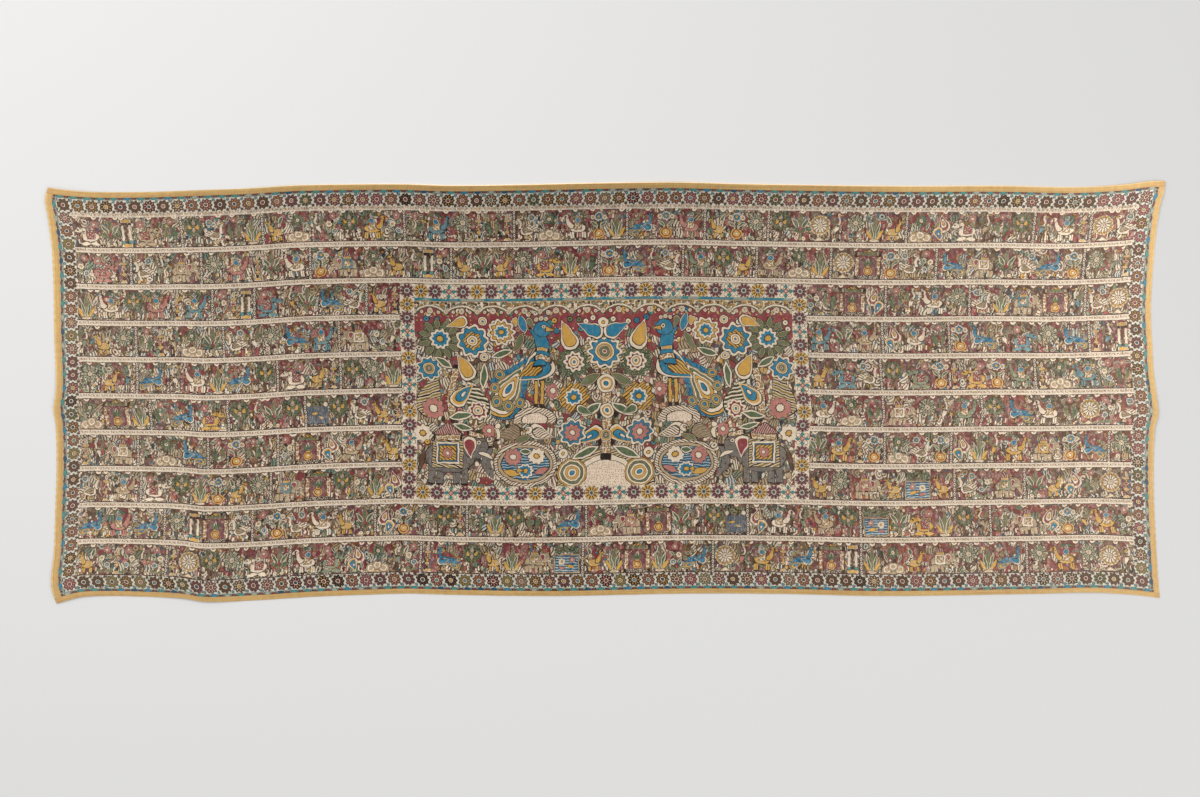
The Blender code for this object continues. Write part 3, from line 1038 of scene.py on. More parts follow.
def penwork(pen, cloth_mm, fine, ground, ground_share):
    """What fills the gaps between motifs: folds or rings in many dyes, strokes and plain ground."""
    grain = 24.0
    rib_pitch = 7.4
    point = wobbled(pen, cloth_mm, cloth_mm, 5.0, 22)
    folds = pen.cells(point, grain, 1.0)
    edge = pen.cells(point, grain, 1.0, "DISTANCE_TO_EDGE")["Distance"]
    pick, lean, kind = pen.split(folds["Color"], 3)
    turn = pen.linear(lean, 2.0, -1.0)
    x, y = pen.split(point)
    across = pen.times(x, pen.math("COSINE", turn))
    across = pen.linear(y, pen.math("SINE", turn), across)
    from_middle = pen.times(folds["Distance"], grain)
    ringed = pen.above(lean, 0.7)
    further = pen.math("SUBTRACT", from_middle, across)
    place = pen.linear(ringed, further, across)
    wave = pen.math("SINE", pen.times(place, math.tau / rib_pitch))
    ribbed = pen.one_of(pick, FOLD_DYES)
    ribbed = pen.mix(pen.above(wave, 0.3), ribbed, "brown")
    drawn = pen.mix(pen.above(kind, 0.45), fine, ribbed)
    drawn = pen.mix(0.16, drawn, pen.one_of(pick, TINT_DYES))
    chance = pen.math("FRACT", pen.times(kind, 7.0))
    drawn = pen.mix(pen.below(chance, ground_share), drawn, ground)
    return pen.mix(pen.below(edge, 0.045), drawn, "umber")


def strewn(pen, cloth_mm, under, grain, size, share, names):
    """Round beads or small flowers in dark rings, on a share of even places."""
    beads = pen.cells(cloth_mm, grain)
    pick, chance = pen.split(beads["Color"])
    reach = pen.times(beads["Distance"], grain / size)
    rings = [(0, "brown"), (0.22, "cream"), (0.74, "brown"), (1.0, "clear")]
    colour, cover = pen.steps(reach, rings)
    petal = pen.math("COMPARE", reach, 0.48, 0.26)
    bead = pen.mix(petal, colour, pen.one_of(pick, names))
    shown = pen.times(cover, pen.below(chance, share))
    return pen.mix(shown, under, bead)


def specks(pen, cloth_mm, under, share):
    """Small dark-edged specks over a pale ground."""
    return strewn(pen, cloth_mm, under, 5.2, 2.2, share, ["cream", "duck", "umber"])


def cotton_dye_and_shade_group():
    """How dye lies in worn cotton: mottled, streaked, pale on the back. It also carries painted light
    and
    shade: lighter towards both ends, partly faded dye too, and changing from bottom to top.
    """
    group = bpy.data.node_groups.new("cotton_dye_and_shade", "ShaderNodeTree")
    group.interface.new_socket("Color", in_out="INPUT", socket_type="NodeSocketColor")
    group.interface.new_socket("Color", in_out="OUTPUT", socket_type="NodeSocketColor")
    group.interface.new_socket("Height", in_out="OUTPUT", socket_type="NodeSocketFloat")
    pen = Painter(group)
    given = pen.add("NodeGroupInput").outputs["Color"]
    cloth = pen.map("cloth")
    x, y = pen.split(cloth)

    mottle = pen.noise(cloth, MOTTLE_GRAIN, 2.0)["Fac"]
    fade = pen.noise(cloth, FADE_GRAIN, 2.0)["Fac"]
    weft_plane = pen.vector("MULTIPLY", cloth, (STREAKS_ALONG, STREAKS_ACROSS, 0))
    weft = pen.noise(weft_plane, 1.0)["Fac"]
    warp_plane = pen.vector("MULTIPLY", cloth, (STREAKS_ACROSS, STREAKS_ALONG, 0))
    warp = pen.noise(warp_plane, 1.0)["Fac"]
    threads = pen.math("ADD", weft, warp)

    # Painted light and shade: darkest at one share of the length, lighter towards both ends, and
    # changing from bottom to top by more towards the ends; partly faded dye too.
    from_deepest = pen.linear(x, 1 / LENGTH, -DARKEST_AT)
    outwards = pen.times(from_deepest, from_deepest)
    upwards = pen.linear(y, 1 / WIDTH, -0.5)
    uneven = pen.linear(outwards, 1.6, -0.2)
    value = pen.linear(outwards, FOURTH_RISE, SQUARE_RISE)
    value = pen.linear(outwards, value, DARKEST_BRIGHTNESS)
    value = pen.linear(upwards, uneven, value)
    for spots, mean, spread in ((mottle, 0.5, 0.30), (fade, 0.5, 0.24), (threads, 1.0, 0.30)):
        value = pen.times(value, pen.linear(spots, spread, 1 - mean * spread))
    # This colour carries the painted light and shade as well as the mottled, streaked dye.
    dyed = pen.add("ShaderNodeHueSaturation", {"Value": value, "Color": given}).outputs[0]
    # More cream towards both ends: partly painted light, partly faded dye.
    front = pen.mix(pen.times(outwards, END_LIGHT_AND_FADE), dyed, "cream")
    back = pen.mix(pen.linear(mottle, 0.5, 0.42), front, "sand")
    colour = pen.mix(pen.attribute("reverse"), front, back)

    over = pen.math("SINE", pen.times(x, math.tau / THREAD_PITCH))
    under = pen.math("SINE", pen.times(y, math.tau / THREAD_PITCH))
    height = pen.linear(pen.times(over, under), 0.35, threads)
    pen.add("NodeGroupOutput", {"Color": colour, "Height": height})
    return group


COTTON = cotton_dye_and_shade_group()


def new_material(name, roughness):
    """A material of a roughness, and its shader."""
    material = bpy.data.materials.new(name)
    material.use_nodes = True
    shader = material.node_tree.nodes["Principled BSDF"]
    shader.inputs["Roughness"].default_value = roughness
    return material, shader


def cloth_material(name, colour_of, line=PEN_LINE):
    """A cotton material whose dye is drawn by colour_of(pen, cloth in mm)."""
    material, shader = new_material(name, 0.92)
    tree = material.node_tree
    pen = Painter(tree, line)
    colour = colour_of(pen, pen.scale(pen.map("cloth"), 1 / MM))
    finish = pen.add("ShaderNodeGroup", node_tree=COTTON)
    tree.links.new(colour, finish.inputs["Color"])
    tree.links.new(finish.outputs["Color"], shader.inputs["Base Color"])
    inputs = {"Strength": 0.35, "Distance": 0.0005, "Height": finish.outputs["Height"]}
    tree.links.new(pen.add("ShaderNodeBump", inputs).outputs[0], shader.inputs["Normal"])
    shader.inputs["Specular IOR Level"].default_value = 0.18
    shader.inputs["Sheen Weight"].default_value = 0.04
    return material


def repeated(pen, plane, shift, pitch):
    """A plane that comes again and again at a pitch along its x."""
    x, y = pen.split(plane)
    shifted = pen.math("ADD", x, shift)
    return pen.join(pen.math("WRAP", shifted, pitch / 2, -pitch / 2), y)


def register_motif(shapes):
    """A motif among fine penwork, over a floor line and under hanging half rounds."""
    def colour_of(pen, cloth):
        plane = wobbled(pen, pen.map("motif"), cloth)
        shift = pen.times(pen.attribute("pick"), 40.0)
        height = pen.split(plane)[1]
        fine = strokes(pen, cloth, 6.6)
        ground = pen.mix(0.16, pen.one_of(pen.attribute("ground"), GROUND_DYES), fine)
        along = pen.split(cloth)[0]
        ground_share = pen.linear(along, GROUND_RISE * MM / LENGTH, GROUND_SHARE)
        ground_share = pen.linear(height, GROUND_RISE_UP, ground_share)
        under = penwork(pen, cloth, fine, ground, ground_share)
        under = strewn(pen, cloth, under, 17.0, 4.0, 0.4, BEAD_DYES)
        pen.start(repeated(pen, plane, shift, UPRIGHT_PITCH))
        under = pen.draw_all(UPRIGHTS, under)
        pen.start(plane)
        under = pen.draw_all(shapes, under)
        under = pen.mix(0.14, under, fine)
        under = pen.scale(under, pen.linear(height, -DARKER_UP, 1.0))
        under = pen.draw(box(0, FLOOR_LINE_HEIGHT, 200, 0.3, "wine"), under)
        pen.start(repeated(pen, plane, shift, FESTOON_PITCH))
        return pen.draw(disc(0, FESTOON_HEIGHT, 8.0, 9.5, "festoon"), under)
    return colour_of


def plain_ground(pen, cloth):
    """The plain dye between the large motifs of the panel, with small flowers in two sizes."""
    plain = strewn(pen, cloth, "brick", 13.0, 3.0, 0.4, BEAD_DYES)
    return strewn(pen, cloth, plain, 29.0, 9.5, 0.7, BEAD_DYES)


def panel_block(shapes):
    """A block of the centre panel: penwork low down, plain dye with small flowers high up."""
    def colour_of(pen, cloth):
        fine = strokes(pen, cloth, 9.0)
        plain = plain_ground(pen, cloth)
        height = pen.split(wobbled(pen, cloth, cloth, 70.0, 120.0))[1]
        low = penwork(pen, cloth, fine, plain, 0.12)
        above = pen.above(height, PLAIN_GROUND_FROM)
        under = pen.mix(above, low, plain)
        pen.start(wobbled(pen, pen.map("motif"), cloth, 3.2, 24))
        return pen.mix(0.06, pen.draw_all(shapes, under), fine)
    return colour_of


def strip_cell(pen, cell_length):
    """In a border strip: the plane of one cell in mm, and the cell's number.

    The strip's UV runs in cells along it, and in mm across it.
    """
    u, v = pen.split(pen.map("motif"))
    number = pen.math("FLOOR", u)
    x = pen.linear(pen.math("FRACT", u), cell_length, -cell_length / 2)
    return pen.join(x, v), number


def by_number(pen, number, names, offset):
    """A dye for each cell of a strip, in no order."""
    shift = pen.linear(pen.attribute("pick"), 37.0, offset)
    inputs = {"W": pen.math("ADD", number, shift)}
    noise = pen.add("ShaderNodeTexWhiteNoise", inputs, noise_dimensions="1D")
    return pen.one_of(noise.outputs["Value"], names)


def rosette_row(pen, cloth):
    """The outer border: a dark rosette in each cell, in a lattice of pale pointed arches."""
    point, number = strip_cell(pen, ROSETTE_CELL)
    pen.start(wobbled(pen, point, cloth, 1.4))
    pen.sources["petals"] = by_number(pen, number, PETAL_DYES, 0.0)
    pen.sources["ring"] = by_number(pen, number, RING_DYES, 5.7)
    pen.sources["heart"] = by_number(pen, number, HEART_DYES, 11.3)
    shapes = [
        leaf(19.75, 0, 24, 5.0, "pale", turn=90, pair=True),
        leaf(19.75, 15, 5, 2.4, "mist", turn=90, pair=True),
        leaf(19.75, -15, 5, 2.4, "umber", turn=90, pair=True),
        flower(0, 0, 18.0, 18.2, "petals", bend=9),
        leaf(11.6, 0, 4.8, 1.5, "ring", around=9),
        disc(0, 0, 6.2, 6.2, "halo"),
        disc(0, 0, 3.0, 3.0, "heart"),
    ]
    return pen.draw_all(shapes, specks(pen, cloth, "pale", 0.5))


def frame_row(pen, cloth):
    """The centre frame: wine, ochre and wine rosettes, then a pale four-lobed one."""
    point, number = strip_cell(pen, FRAME_CELL)
    pen.start(wobbled(pen, point, cloth, 1.2))
    quarter = pen.math("FLOORED_MODULO", number, 4.0)
    place = pen.linear(quarter, 0.25, 0.1)
    pen.sources["petals"] = pen.one_of(place, ["plum", "ochre", "plum", "cream"])
    under = specks(pen, cloth, "cream", 0.4)
    round_shapes = [
        disc(0, 0, 19.2, 19.4, "cream"),
        flower(0, 0, 19.4, 19.6, "petals", bend=10),
        leaf(12.8, 0, 5.0, 0.6, "umber", around=10),
        disc(0, 0, 7.6, 7.6, "wine_heart"),
    ]
    lobed_shapes = [
        leaf(13.5, 0, 6.6, 3.6, "teal", around=4),
        disc(11.5, 11.5, 5.0, 5.0, "cream", pair=True),
        disc(11.5, -11.5, 5.0, 5.0, "cream", pair=True),
        disc(0, 0, 6.4, 6.4, "rose_blossom"),
    ]
    rosette = pen.draw_all(round_shapes, under)
    lobed = pen.draw_all(lobed_shapes, under)
    return pen.mix(pen.above(quarter, 2.5), rosette, lobed)


def bead_row(pen, cloth):
    """The line of teal diamonds and wine dashes between the hem and the rosettes."""
    point, number = strip_cell(pen, BEAD_CELL)
    pen.start(wobbled(pen, point, cloth, 1.2))
    beads = ["teal", "teal", "deep", "sky", "teal", "duck"]
    pen.sources["bead"] = by_number(pen, number, beads, 0.0)
    pen.sources["dash"] = by_number(pen, number, ["wine", "brick", "umber", "wine"], 3.1)
    shapes = [
        box(0, -3.4, 60, 1.4, "duck"),
        box(0, 2.4, 60, 0.4, "grey"),
        leaf(0, 1.0, 8.5, 4.8, "bead"),
        box(19, 1.0, 5.0, 2.0, "dash", pair=True),
    ]
    return pen.draw_all(shapes, "duck")


def band(pen, cloth, dulled=0.12):
    """The pale bands: leaves and dots in a row between two plain bright lines."""
    plane = wobbled(pen, pen.map("motif"), cloth, 1.6)
    pen.line = 0.35
    patch = pen.noise(cloth, 60.0)["Fac"]
    worn = pen.times(pen.above(patch, 0.58), 0.45)
    under = pen.mix(worn, "cream", "sand")
    rows = [
        (200.0, [box(0, 7.0, 120, 1.6, "chalk"), box(0, -4.0, 120, 2.4, "chalk")]),
        (7.6, [leaf(0, 2.0, 2.8, 0.6, "rose", turn=72)]),
        (12.4, [leaf(0, 2.4, 2.8, 0.5, "umber", turn=-40), disc(4, 0.4, 0.6, 0.6, "umber")]),
        (200.0, [box(0, -7.6, 120, 1.0, "umber")]),
    ]
    for pitch, shapes in rows:
        pen.start(repeated(pen, plane, 0.0, pitch))
        under = pen.draw_all(shapes, under)
    return pen.mix(dulled, under, strokes(pen, cloth, 5.0))


def top_band(pen, cloth):
    """The band under the top rosettes, which is the most worn."""
    return band(pen, cloth, 0.36)


def divider(pen, cloth):
    """An upright row of pale diamonds on brown, between two brown lines."""
    u, v = pen.split(wobbled(pen, pen.map("motif"), cloth, 1.0))
    pen.start(pen.join(u, pen.math("WRAP", v, 6.6, -6.6)))
    shapes = [
        box(0, 0, 3.6, 60, "grey"),
        leaf(0, 0, 5.6, 3.2, "cream", turn=90),
        disc(0, 0, 0.8, 1.2, "teal"),
    ]
    return pen.draw_all(shapes, "wine")


def blue_band(pen, cloth):
    """The broken blue band under the frame's top row, with pale dots."""
    patches = pen.noise(cloth, 70.0)["Fac"]
    stops = [(0, "mist"), (0.44, "sky"), (0.52, "teal"), (0.58, "duck")]
    blue = pen.steps(patches, stops)[0]
    blue = strewn(pen, cloth, blue, 8.0, 2.4, 0.35, ["cream", "olive"])
    pen.start(pen.map("motif"))
    pen.line = 0.6
    return pen.draw(box(0, -6.0, 4000, 3.2, "sand"), blue)


def canopy(pen, cloth):
    """The scalloped valance that hangs over the centre panel."""
    point = strip_cell(pen, CANOPY_CELL)[0]
    pen.start(wobbled(pen, point, cloth, 1.8))
    pen.sources["plain"] = plain_ground(pen, cloth)
    shapes = [
        disc(0, -49.5, 60.3, 60.3, "arch"),
        disc(0, -49.5, 52.4, 52.4, "plain"),
        disc(45.8, -8, 6.4, 7.4, "target", pair=True),
        leaf(13, -15, 7, 2.6, "edged_ochre", turn=-60, pair=True),
        disc(24, -9, 4.6, 4.6, "blossom", pair=True),
        disc(0, -6, 8.4, 8.4, "target"),
    ]
    beads = ["ochre", "umber", "mustard", "moss"]
    under = strewn(pen, cloth, "cream", 8.0, 4.4, 0.95, beads)
    return pen.mix(0.06, pen.draw_all(shapes, under), strokes(pen, cloth, 9.0))


def hem(pen, cloth):
    """The ochre hem, streaked along its length, with a painted highlight along its rolled outer fold,
    darker where it overlaps at the corners.
    """
    u, v = pen.split(pen.map("motif"))
    along = pen.join(pen.times(u, 0.15), pen.times(v, 0.4))
    streak = pen.linear(pen.noise(along, 1.0)["Fac"], 1.5, -0.25)
    under = pen.mix(streak, "hem_dark", "hem")
    # Painted highlight: the hem's outer side, along its rolled fold, is painted lighter.
    outer = pen.above(v, HEM_FOLD)
    under = pen.mix(pen.times(outer, 0.55), under, "hem_highlight")
    inner = pen.below(v, -HEM_FOLD)
    under = pen.mix(pen.times(inner, 0.4), under, "hem_dark")
    corner = pen.times(pen.attribute("ground"), 0.5)
    return pen.mix(corner, under, "hem_dark")


class Design:
    """Which material lies on each cell of the grid, and where in its motif each corner is."""

    def __init__(self, columns, rows):
        self.columns = np.array(columns)
        self.rows = np.array(rows)
        shape = (len(rows) - 1, len(columns) - 1)
        left, low = np.meshgrid(self.columns[:-1], self.rows[:-1])
        right, high = np.meshgrid(self.columns[1:], self.rows[1:])
        self.s = np.stack([left, right, right, left], axis=-1)
        self.t = np.stack([low, low, high, high], axis=-1)
        self.slot = np.zeros(shape, dtype=int)
        self.u = np.zeros(shape + (4,))
        self.v = np.zeros(shape + (4,))
        self.pick = np.zeros(shape)
        self.ground = np.zeros(shape)
        self.materials = []

    def cells(self, area, name, colour_of, line=PEN_LINE):
        """Give an area of cells its material, made when first asked for, and return the cells."""
        first_column, end_column, first_row, end_row = area
        cells = (slice(first_row, end_row), slice(first_column, end_column))
        names = [material.name for material in self.materials]
        if name not in names:
            self.materials.append(cloth_material(name, colour_of, line))
            names.append(name)
        self.slot[cells] = names.index(name)
        return cells

    def fill(self, area, name, colour_of, pick=0.0, ground=0.0, flip=1, line=PEN_LINE):
        """Draw one motif over an area of cells, in mm from the area's middle."""
        cells = self.cells(area, name, colour_of, line)
        first_column, end_column, first_row, end_row = area
        middle_s = (self.columns[first_column] + self.columns[end_column]) / 2
        middle_t = (self.rows[first_row] + self.rows[end_row]) / 2
        self.u[cells] = (self.s[cells] - middle_s) * flip
        self.v[cells] = self.t[cells] - middle_t
        self.pick[cells] = pick
        self.ground[cells] = ground

    def strip(self, area, name, colour_of, count, side, pick=0.0):
        """Draw a border strip of a count of motifs: its outer side is top, bottom, left or right."""
        cells = self.cells(area, name, colour_of)
        first_column, end_column, first_row, end_row = area
        s0, s1 = self.columns[first_column], self.columns[end_column]
        t0, t1 = self.rows[first_row], self.rows[end_row]
        if side in ("top", "bottom"):
            outwards = 1 if side == "top" else -1
            self.u[cells] = (self.s[cells] - s0) / (s1 - s0) * count
            self.v[cells] = (self.t[cells] - (t0 + t1) / 2) * outwards
        else:
            outwards = 1 if side == "right" else -1
            self.u[cells] = (self.t[cells] - t0) / (t1 - t0) * count
            self.v[cells] = (self.s[cells] - (s0 + s1) / 2) * outwards
        self.pick[cells] = pick

    def surround(self, columns, rows, name, colour_of, count_up, count_along):
        """Draw border strips up both sides and along the bottom and the top."""
        (left, left_end), (right, right_end) = columns
        (bottom, bottom_end), (top, top_end) = rows
        # Columns: area, its cells, its outer side, what shifts its dyes.
        strips = (
            ((left, left_end, bottom_end, top), count_up, "left", 0.1),
            ((right, right_end, bottom_end, top), count_up, "right", 0.3),
            ((left, right_end, bottom, bottom_end), count_along, "bottom", 0.5),
            ((left, right_end, top, top_end), count_along, "top", 0.7),
        )
        for area, count, side, pick in strips:
            self.strip(area, name, colour_of, count, side, pick)

    def ribbon(self, area, name, colour_of):
        """Draw a level strip in mm along it and across it."""
        self.strip(area, name, colour_of, 1, "top")
        cells = self.cells(area, name, colour_of)
        self.u[cells] = self.s[cells]


def zone_lines(zones):
    """Grid lines in mm from the first edge, and the cells that each zone takes.

    A margin has a narrow cell at its rolled edge and another where its thickness steps down.
    """
    lines = [0.0]
    spans = []
    for name, size, cells in zones:
        start = lines[-1]
        steps = [size * step / cells for step in range(1, cells + 1)]
        if name == "margin" and start == 0.0:
            steps = [EDGE_ROLL, size - EDGE_ROLL / 2, size]
        elif name == "margin":
            steps = [EDGE_ROLL / 2, size - EDGE_ROLL, size]
        spans.append((name, len(lines) - 1, len(lines) - 1 + len(steps)))
        lines += [start + step for step in steps]
    return lines, spans


def across_zones():
    """Zones of the design across the cloth, from the bottom edge up."""
    heights = [LOWEST_REGISTER_HEIGHT] + [REGISTER_HEIGHT] * (REGISTER_COUNT - 1)
    zones = list(BOTTOM_ZONES)
    for height in heights:
        zones += [("register", height, REGISTER_ROWS), ("band", BAND_HEIGHT, BAND_ROWS)]
    return zones[:-1] + TOP_ZONES


def named_spans(spans, name):
    """The cell ranges of the zones with one name, in order."""
    return [(start, end) for zone, start, end in spans if zone == name]


def lay_borders(design, along, across):
    """The hem, the bead line and the rosettes round all four sides."""
    # Columns: zone, material, what draws it, its cells up a side and along the top.
    borders = (
        ("margin", "hem", hem, 30, 90),
        ("bead", "bead_row", bead_row, 28, 82),
        ("rosette", "rosette_row", rosette_row, 28, 77),
    )
    for zone, *border in borders:
        design.surround(named_spans(along, zone), named_spans(across, zone), *border)
    for rows in named_spans(across, "margin"):
        for columns in named_spans(along, "margin"):
            design.ground[slice(*rows), slice(*columns)] = 1.0


def lay_register(design, chance, columns, rows):
    """One register: motifs side by side on the penwork, with a divider now and then."""
    widths = {name: width for name, width, _ in MOTIF_WIDTHS}
    weights = {name: weight for name, _, weight in MOTIF_WIDTHS}
    narrowest = min(widths.values())
    column, end = columns
    last = None
    until_divider = chance.randint(*DIVIDER_EVERY)
    while column < end:
        room = end - column
        if until_divider == 0 and room > narrowest:
            design.fill((column, column + 1, *rows), "divider", divider)
            column += 1
            until_divider = chance.randint(*DIVIDER_EVERY)
            continue
        fitting = [
            name for name in widths
            if name != last and (widths[name] == room or widths[name] <= room - narrowest)
        ]
        name, width = "spray", room
        if fitting:
            name = chance.choices(fitting, [weights[name] for name in fitting])[0]
            width = widths[name]
        design.fill((column, column + width, *rows), name, register_motif(MOTIFS[name]),
                    chance.random(), chance.random(), chance.choice((-1, 1)))
        column += width
        last = name
        until_divider -= 1


def lay_field(design, along, across):
    """The registers and the bands between them, right across the cloth."""
    chance = random.Random(FIELD_SEED)
    sides = named_spans(along, "register")
    start, end = sides[0][0], sides[1][1]
    *bands, top = named_spans(across, "band")
    for rows in bands:
        design.ribbon((start, end, *rows), "band", band)
    design.ribbon((start, end, *top), "top_band", top_band)
    for number, rows in enumerate(named_spans(across, "register")):
        beside_panel = PANEL_FIRST_REGISTER <= number <= PANEL_LAST_REGISTER
        for columns in sides if beside_panel else [(start, end)]:
            lay_register(design, chance, columns, rows)


def lay_panel(design, along, across):
    """The centre panel in its frame of rosettes, under a valance."""
    sides = named_spans(along, "frame")
    registers = named_spans(across, "register")
    bottom = registers[PANEL_FIRST_REGISTER][0]
    top = registers[PANEL_LAST_REGISTER][1]
    low = bottom + FRAME_ROWS
    high = top - FRAME_ROWS
    design.surround(sides, [(bottom, low), (high, top)], "frame_row", frame_row,
                    FRAME_COUNT_UP, FRAME_COUNT_ALONG)
    left, right = sides[0][1], sides[1][0]
    band_low = high - BLUE_BAND_ROWS
    design.ribbon((left, right, band_low, high), "blue_band", blue_band)
    canopy_area = (left, right, band_low - CANOPY_ROWS, band_low)
    design.strip(canopy_area, "canopy", canopy, CANOPY_COUNT, "top")
    for name, first, width, first_row, row_count, facing in PANEL_BLOCKS:
        colour_of = panel_block(PANEL_MOTIFS[name])
        rows = (low + first_row, low + first_row + row_count)
        starts = {facing: left + first}
        if name != "life_tree":
            starts[-facing] = right - first - width
        for flip, start in starts.items():
            area = (start, start + width, *rows)
            design.fill(area, name, colour_of, flip=flip, line=PANEL_LINE)


def smooth_between(table, places):
    """Read a two-column table at many places, with a smooth curve through its rows."""
    at, value = np.array(table, dtype=float).T
    last = len(at) - 1
    row = np.clip(np.searchsorted(at, places) - 1, 0, last - 1)
    before = np.maximum(row - 1, 0)
    after = np.minimum(row + 2, last)
    span = at[row + 1] - at[row]
    start_slope = (value[row + 1] - value[before]) / (at[row + 1] - at[before])
    end_slope = (value[after] - value[row]) / (at[after] - at[row])
    part = np.clip((places - at[row]) / span, 0.0, 1.0)
    part2 = part * part
    part3 = part2 * part
    return (
        (2 * part3 - 3 * part2 + 1) * value[row]
        + (part3 - 2 * part2 + part) * span * start_slope
        + (3 * part2 - 2 * part3) * value[row + 1]
        + (part3 - part2) * span * end_slope
    )


def plan_places(s, t):
    """Where points of the cut cloth lie, seen from above, in metres."""
    pucker = PUCKER * np.sin(t * math.tau / PUCKER_PITCH) * (np.abs(t) < PUCKER_REACH)
    left = -LENGTH / 2 - smooth_between(LEFT_EDGE, t) * MM - pucker
    right = LENGTH / 2 + smooth_between(RIGHT_EDGE, t) * MM + pucker
    bottom = -WIDTH / 2 - smooth_between(BOTTOM_EDGE, s) * MM
    top = WIDTH / 2 + smooth_between(TOP_EDGE, s) * MM
    x = left + (right - left) * (s / LENGTH + 0.5)
    y = bottom + (top - bottom) * (t / WIDTH + 0.5)
    return x, y


def hump(distance):
    """A soft rise from 0 at a distance of 1 to 1 at the middle."""
    return np.where(distance < 1.0, np.cos(np.minimum(distance, 1.0) * math.pi / 2) ** 2, 0.0)


def lifts(s, t):
    """How far the underside stands off the surface, in metres."""
    lift = np.zeros_like(s)
    for centre_x, centre_y, half_length, half_width, turn, height in RIPPLES:
        angle = math.radians(turn)
        dx = s - centre_x
        dy = t - centre_y
        lengthwise = np.abs(dx * math.cos(angle) + dy * math.sin(angle)) / half_length
        sideways = np.abs(dy * math.cos(angle) - dx * math.sin(angle)) / half_width
        lift = np.maximum(lift, height * MM * hump(lengthwise) * hump(sideways))
    for waves_x, waves_y, phase, height in SLACK:
        wave = np.sin(math.tau * (waves_x * s + waves_y * t) + phase)
        lift += height * MM * np.maximum(wave, 0.0) ** 2
    return lift


def thicknesses(shape):
    """The cloth's thickness at the grid's points: double at the hem, less at its rolled edge."""
    row = np.arange(shape[0])
    column = np.arange(shape[1])
    from_row_end = np.minimum(row, row[::-1])[:, None]
    from_edge = np.minimum(from_row_end, np.minimum(column, column[::-1])[None, :])
    thick = np.where(from_edge < MARGIN_CELLS, HEM_THICKNESS, FIELD_THICKNESS)
    return np.where(from_edge == 0, thick * ROLLED_SHARE, thick)


def rim_loop(column_count, row_count):
    """The grid's edge points in order, anticlockwise from the first corner."""
    stride = column_count + 1
    bottom = [i for i in range(column_count)]
    right = [column_count + j * stride for j in range(row_count)]
    top = [row_count * stride + i for i in range(column_count, 0, -1)]
    left = [j * stride for j in range(row_count, 0, -1)]
    return np.array(bottom + right + top + left)


def cloth_points(design):
    """The points of the painted face and of the back, and the shift that centres them."""
    s, t = np.meshgrid(design.columns * MM - LENGTH / 2, design.rows * MM - WIDTH / 2)
    x, y = plan_places(s, t)
    low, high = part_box("cloth")
    shift_x = (low[0] + high[0] - x.min() - x.max()) / 2
    shift_y = (low[1] + high[1] - y.min() - y.max()) / 2
    under = lifts(s, t)
    over = under + thicknesses(s.shape)
    face = np.stack([x + shift_x, y + shift_y, over], axis=-1).reshape(-1, 3)
    back = np.stack([x + shift_x, y + shift_y, under], axis=-1).reshape(-1, 3)
    return face, back, (shift_x, shift_y)


def rim_points(face, back, loop):
    """The points halfway up the rolled edge, which bulges a little."""
    tangent = face[np.roll(loop, -1), :2] - face[np.roll(loop, 1), :2]
    tangent /= np.linalg.norm(tangent, axis=1)[:, None]
    middle = (face[loop] + back[loop]) / 2
    middle[:, 0] += tangent[:, 1] * RIM_BULGE
    middle[:, 1] -= tangent[:, 0] * RIM_BULGE
    return middle


def cloth_faces(column_count, row_count, loop):
    """The faces on the painted side, on the back, and round the rolled edge."""
    stride = column_count + 1
    corner = np.arange(row_count)[:, None] * stride + np.arange(column_count)[None, :]
    quads = np.stack([corner, corner + 1, corner + stride + 1, corner + stride], axis=-1)
    quads = quads.reshape(-1, 4)
    points = stride * (row_count + 1)
    following = np.roll(loop, -1)
    rim = 2 * points + np.arange(len(loop))
    rim_next = np.roll(rim, -1)
    lower = np.stack([loop + points, following + points, rim_next, rim], axis=-1)
    upper = np.stack([rim, rim_next, following, loop], axis=-1)
    return np.concatenate([quads, quads[:, ::-1] + points, lower, upper])


def cloth_mesh(design, face, back):
    """The whole cloth as one closed sheet: painted face, back, and the rolled edge between."""
    row_count, column_count = design.slot.shape
    loop = rim_loop(column_count, row_count)
    points = np.concatenate([face, back, rim_points(face, back, loop)])
    mesh = bpy.data.meshes.new("cloth")
    mesh.from_pydata(points.tolist(), [], cloth_faces(column_count, row_count, loop).tolist())
    for material in design.materials:
        mesh.materials.append(material)
    rim_count = 2 * len(loop)
    add_maps(mesh, design, rim_count)
    add_numbers(mesh, design, rim_count)
    mesh.shade_smooth()
    mesh.validate()
    return mesh


def add_numbers(mesh, design, rim_count):
    """The numbers that each face carries for its material, and which material that is."""
    none = np.zeros(design.slot.shape)
    face_numbers = {
        "pick": (design.pick, design.pick),
        "ground": (design.ground, design.ground),
        "reverse": (none, none + 1),
    }
    for name, sides in face_numbers.items():
        values = np.concatenate([*(side.reshape(-1) for side in sides), np.zeros(rim_count)])
        mesh.attributes.new(name, "FLOAT", "FACE").data.foreach_set("value", values)
    hem_slot = [material.name for material in design.materials].index("hem")
    slots = design.slot.reshape(-1)
    slots = np.concatenate([slots, slots, np.full(rim_count, hem_slot)])
    mesh.polygons.foreach_set("material_index", slots)


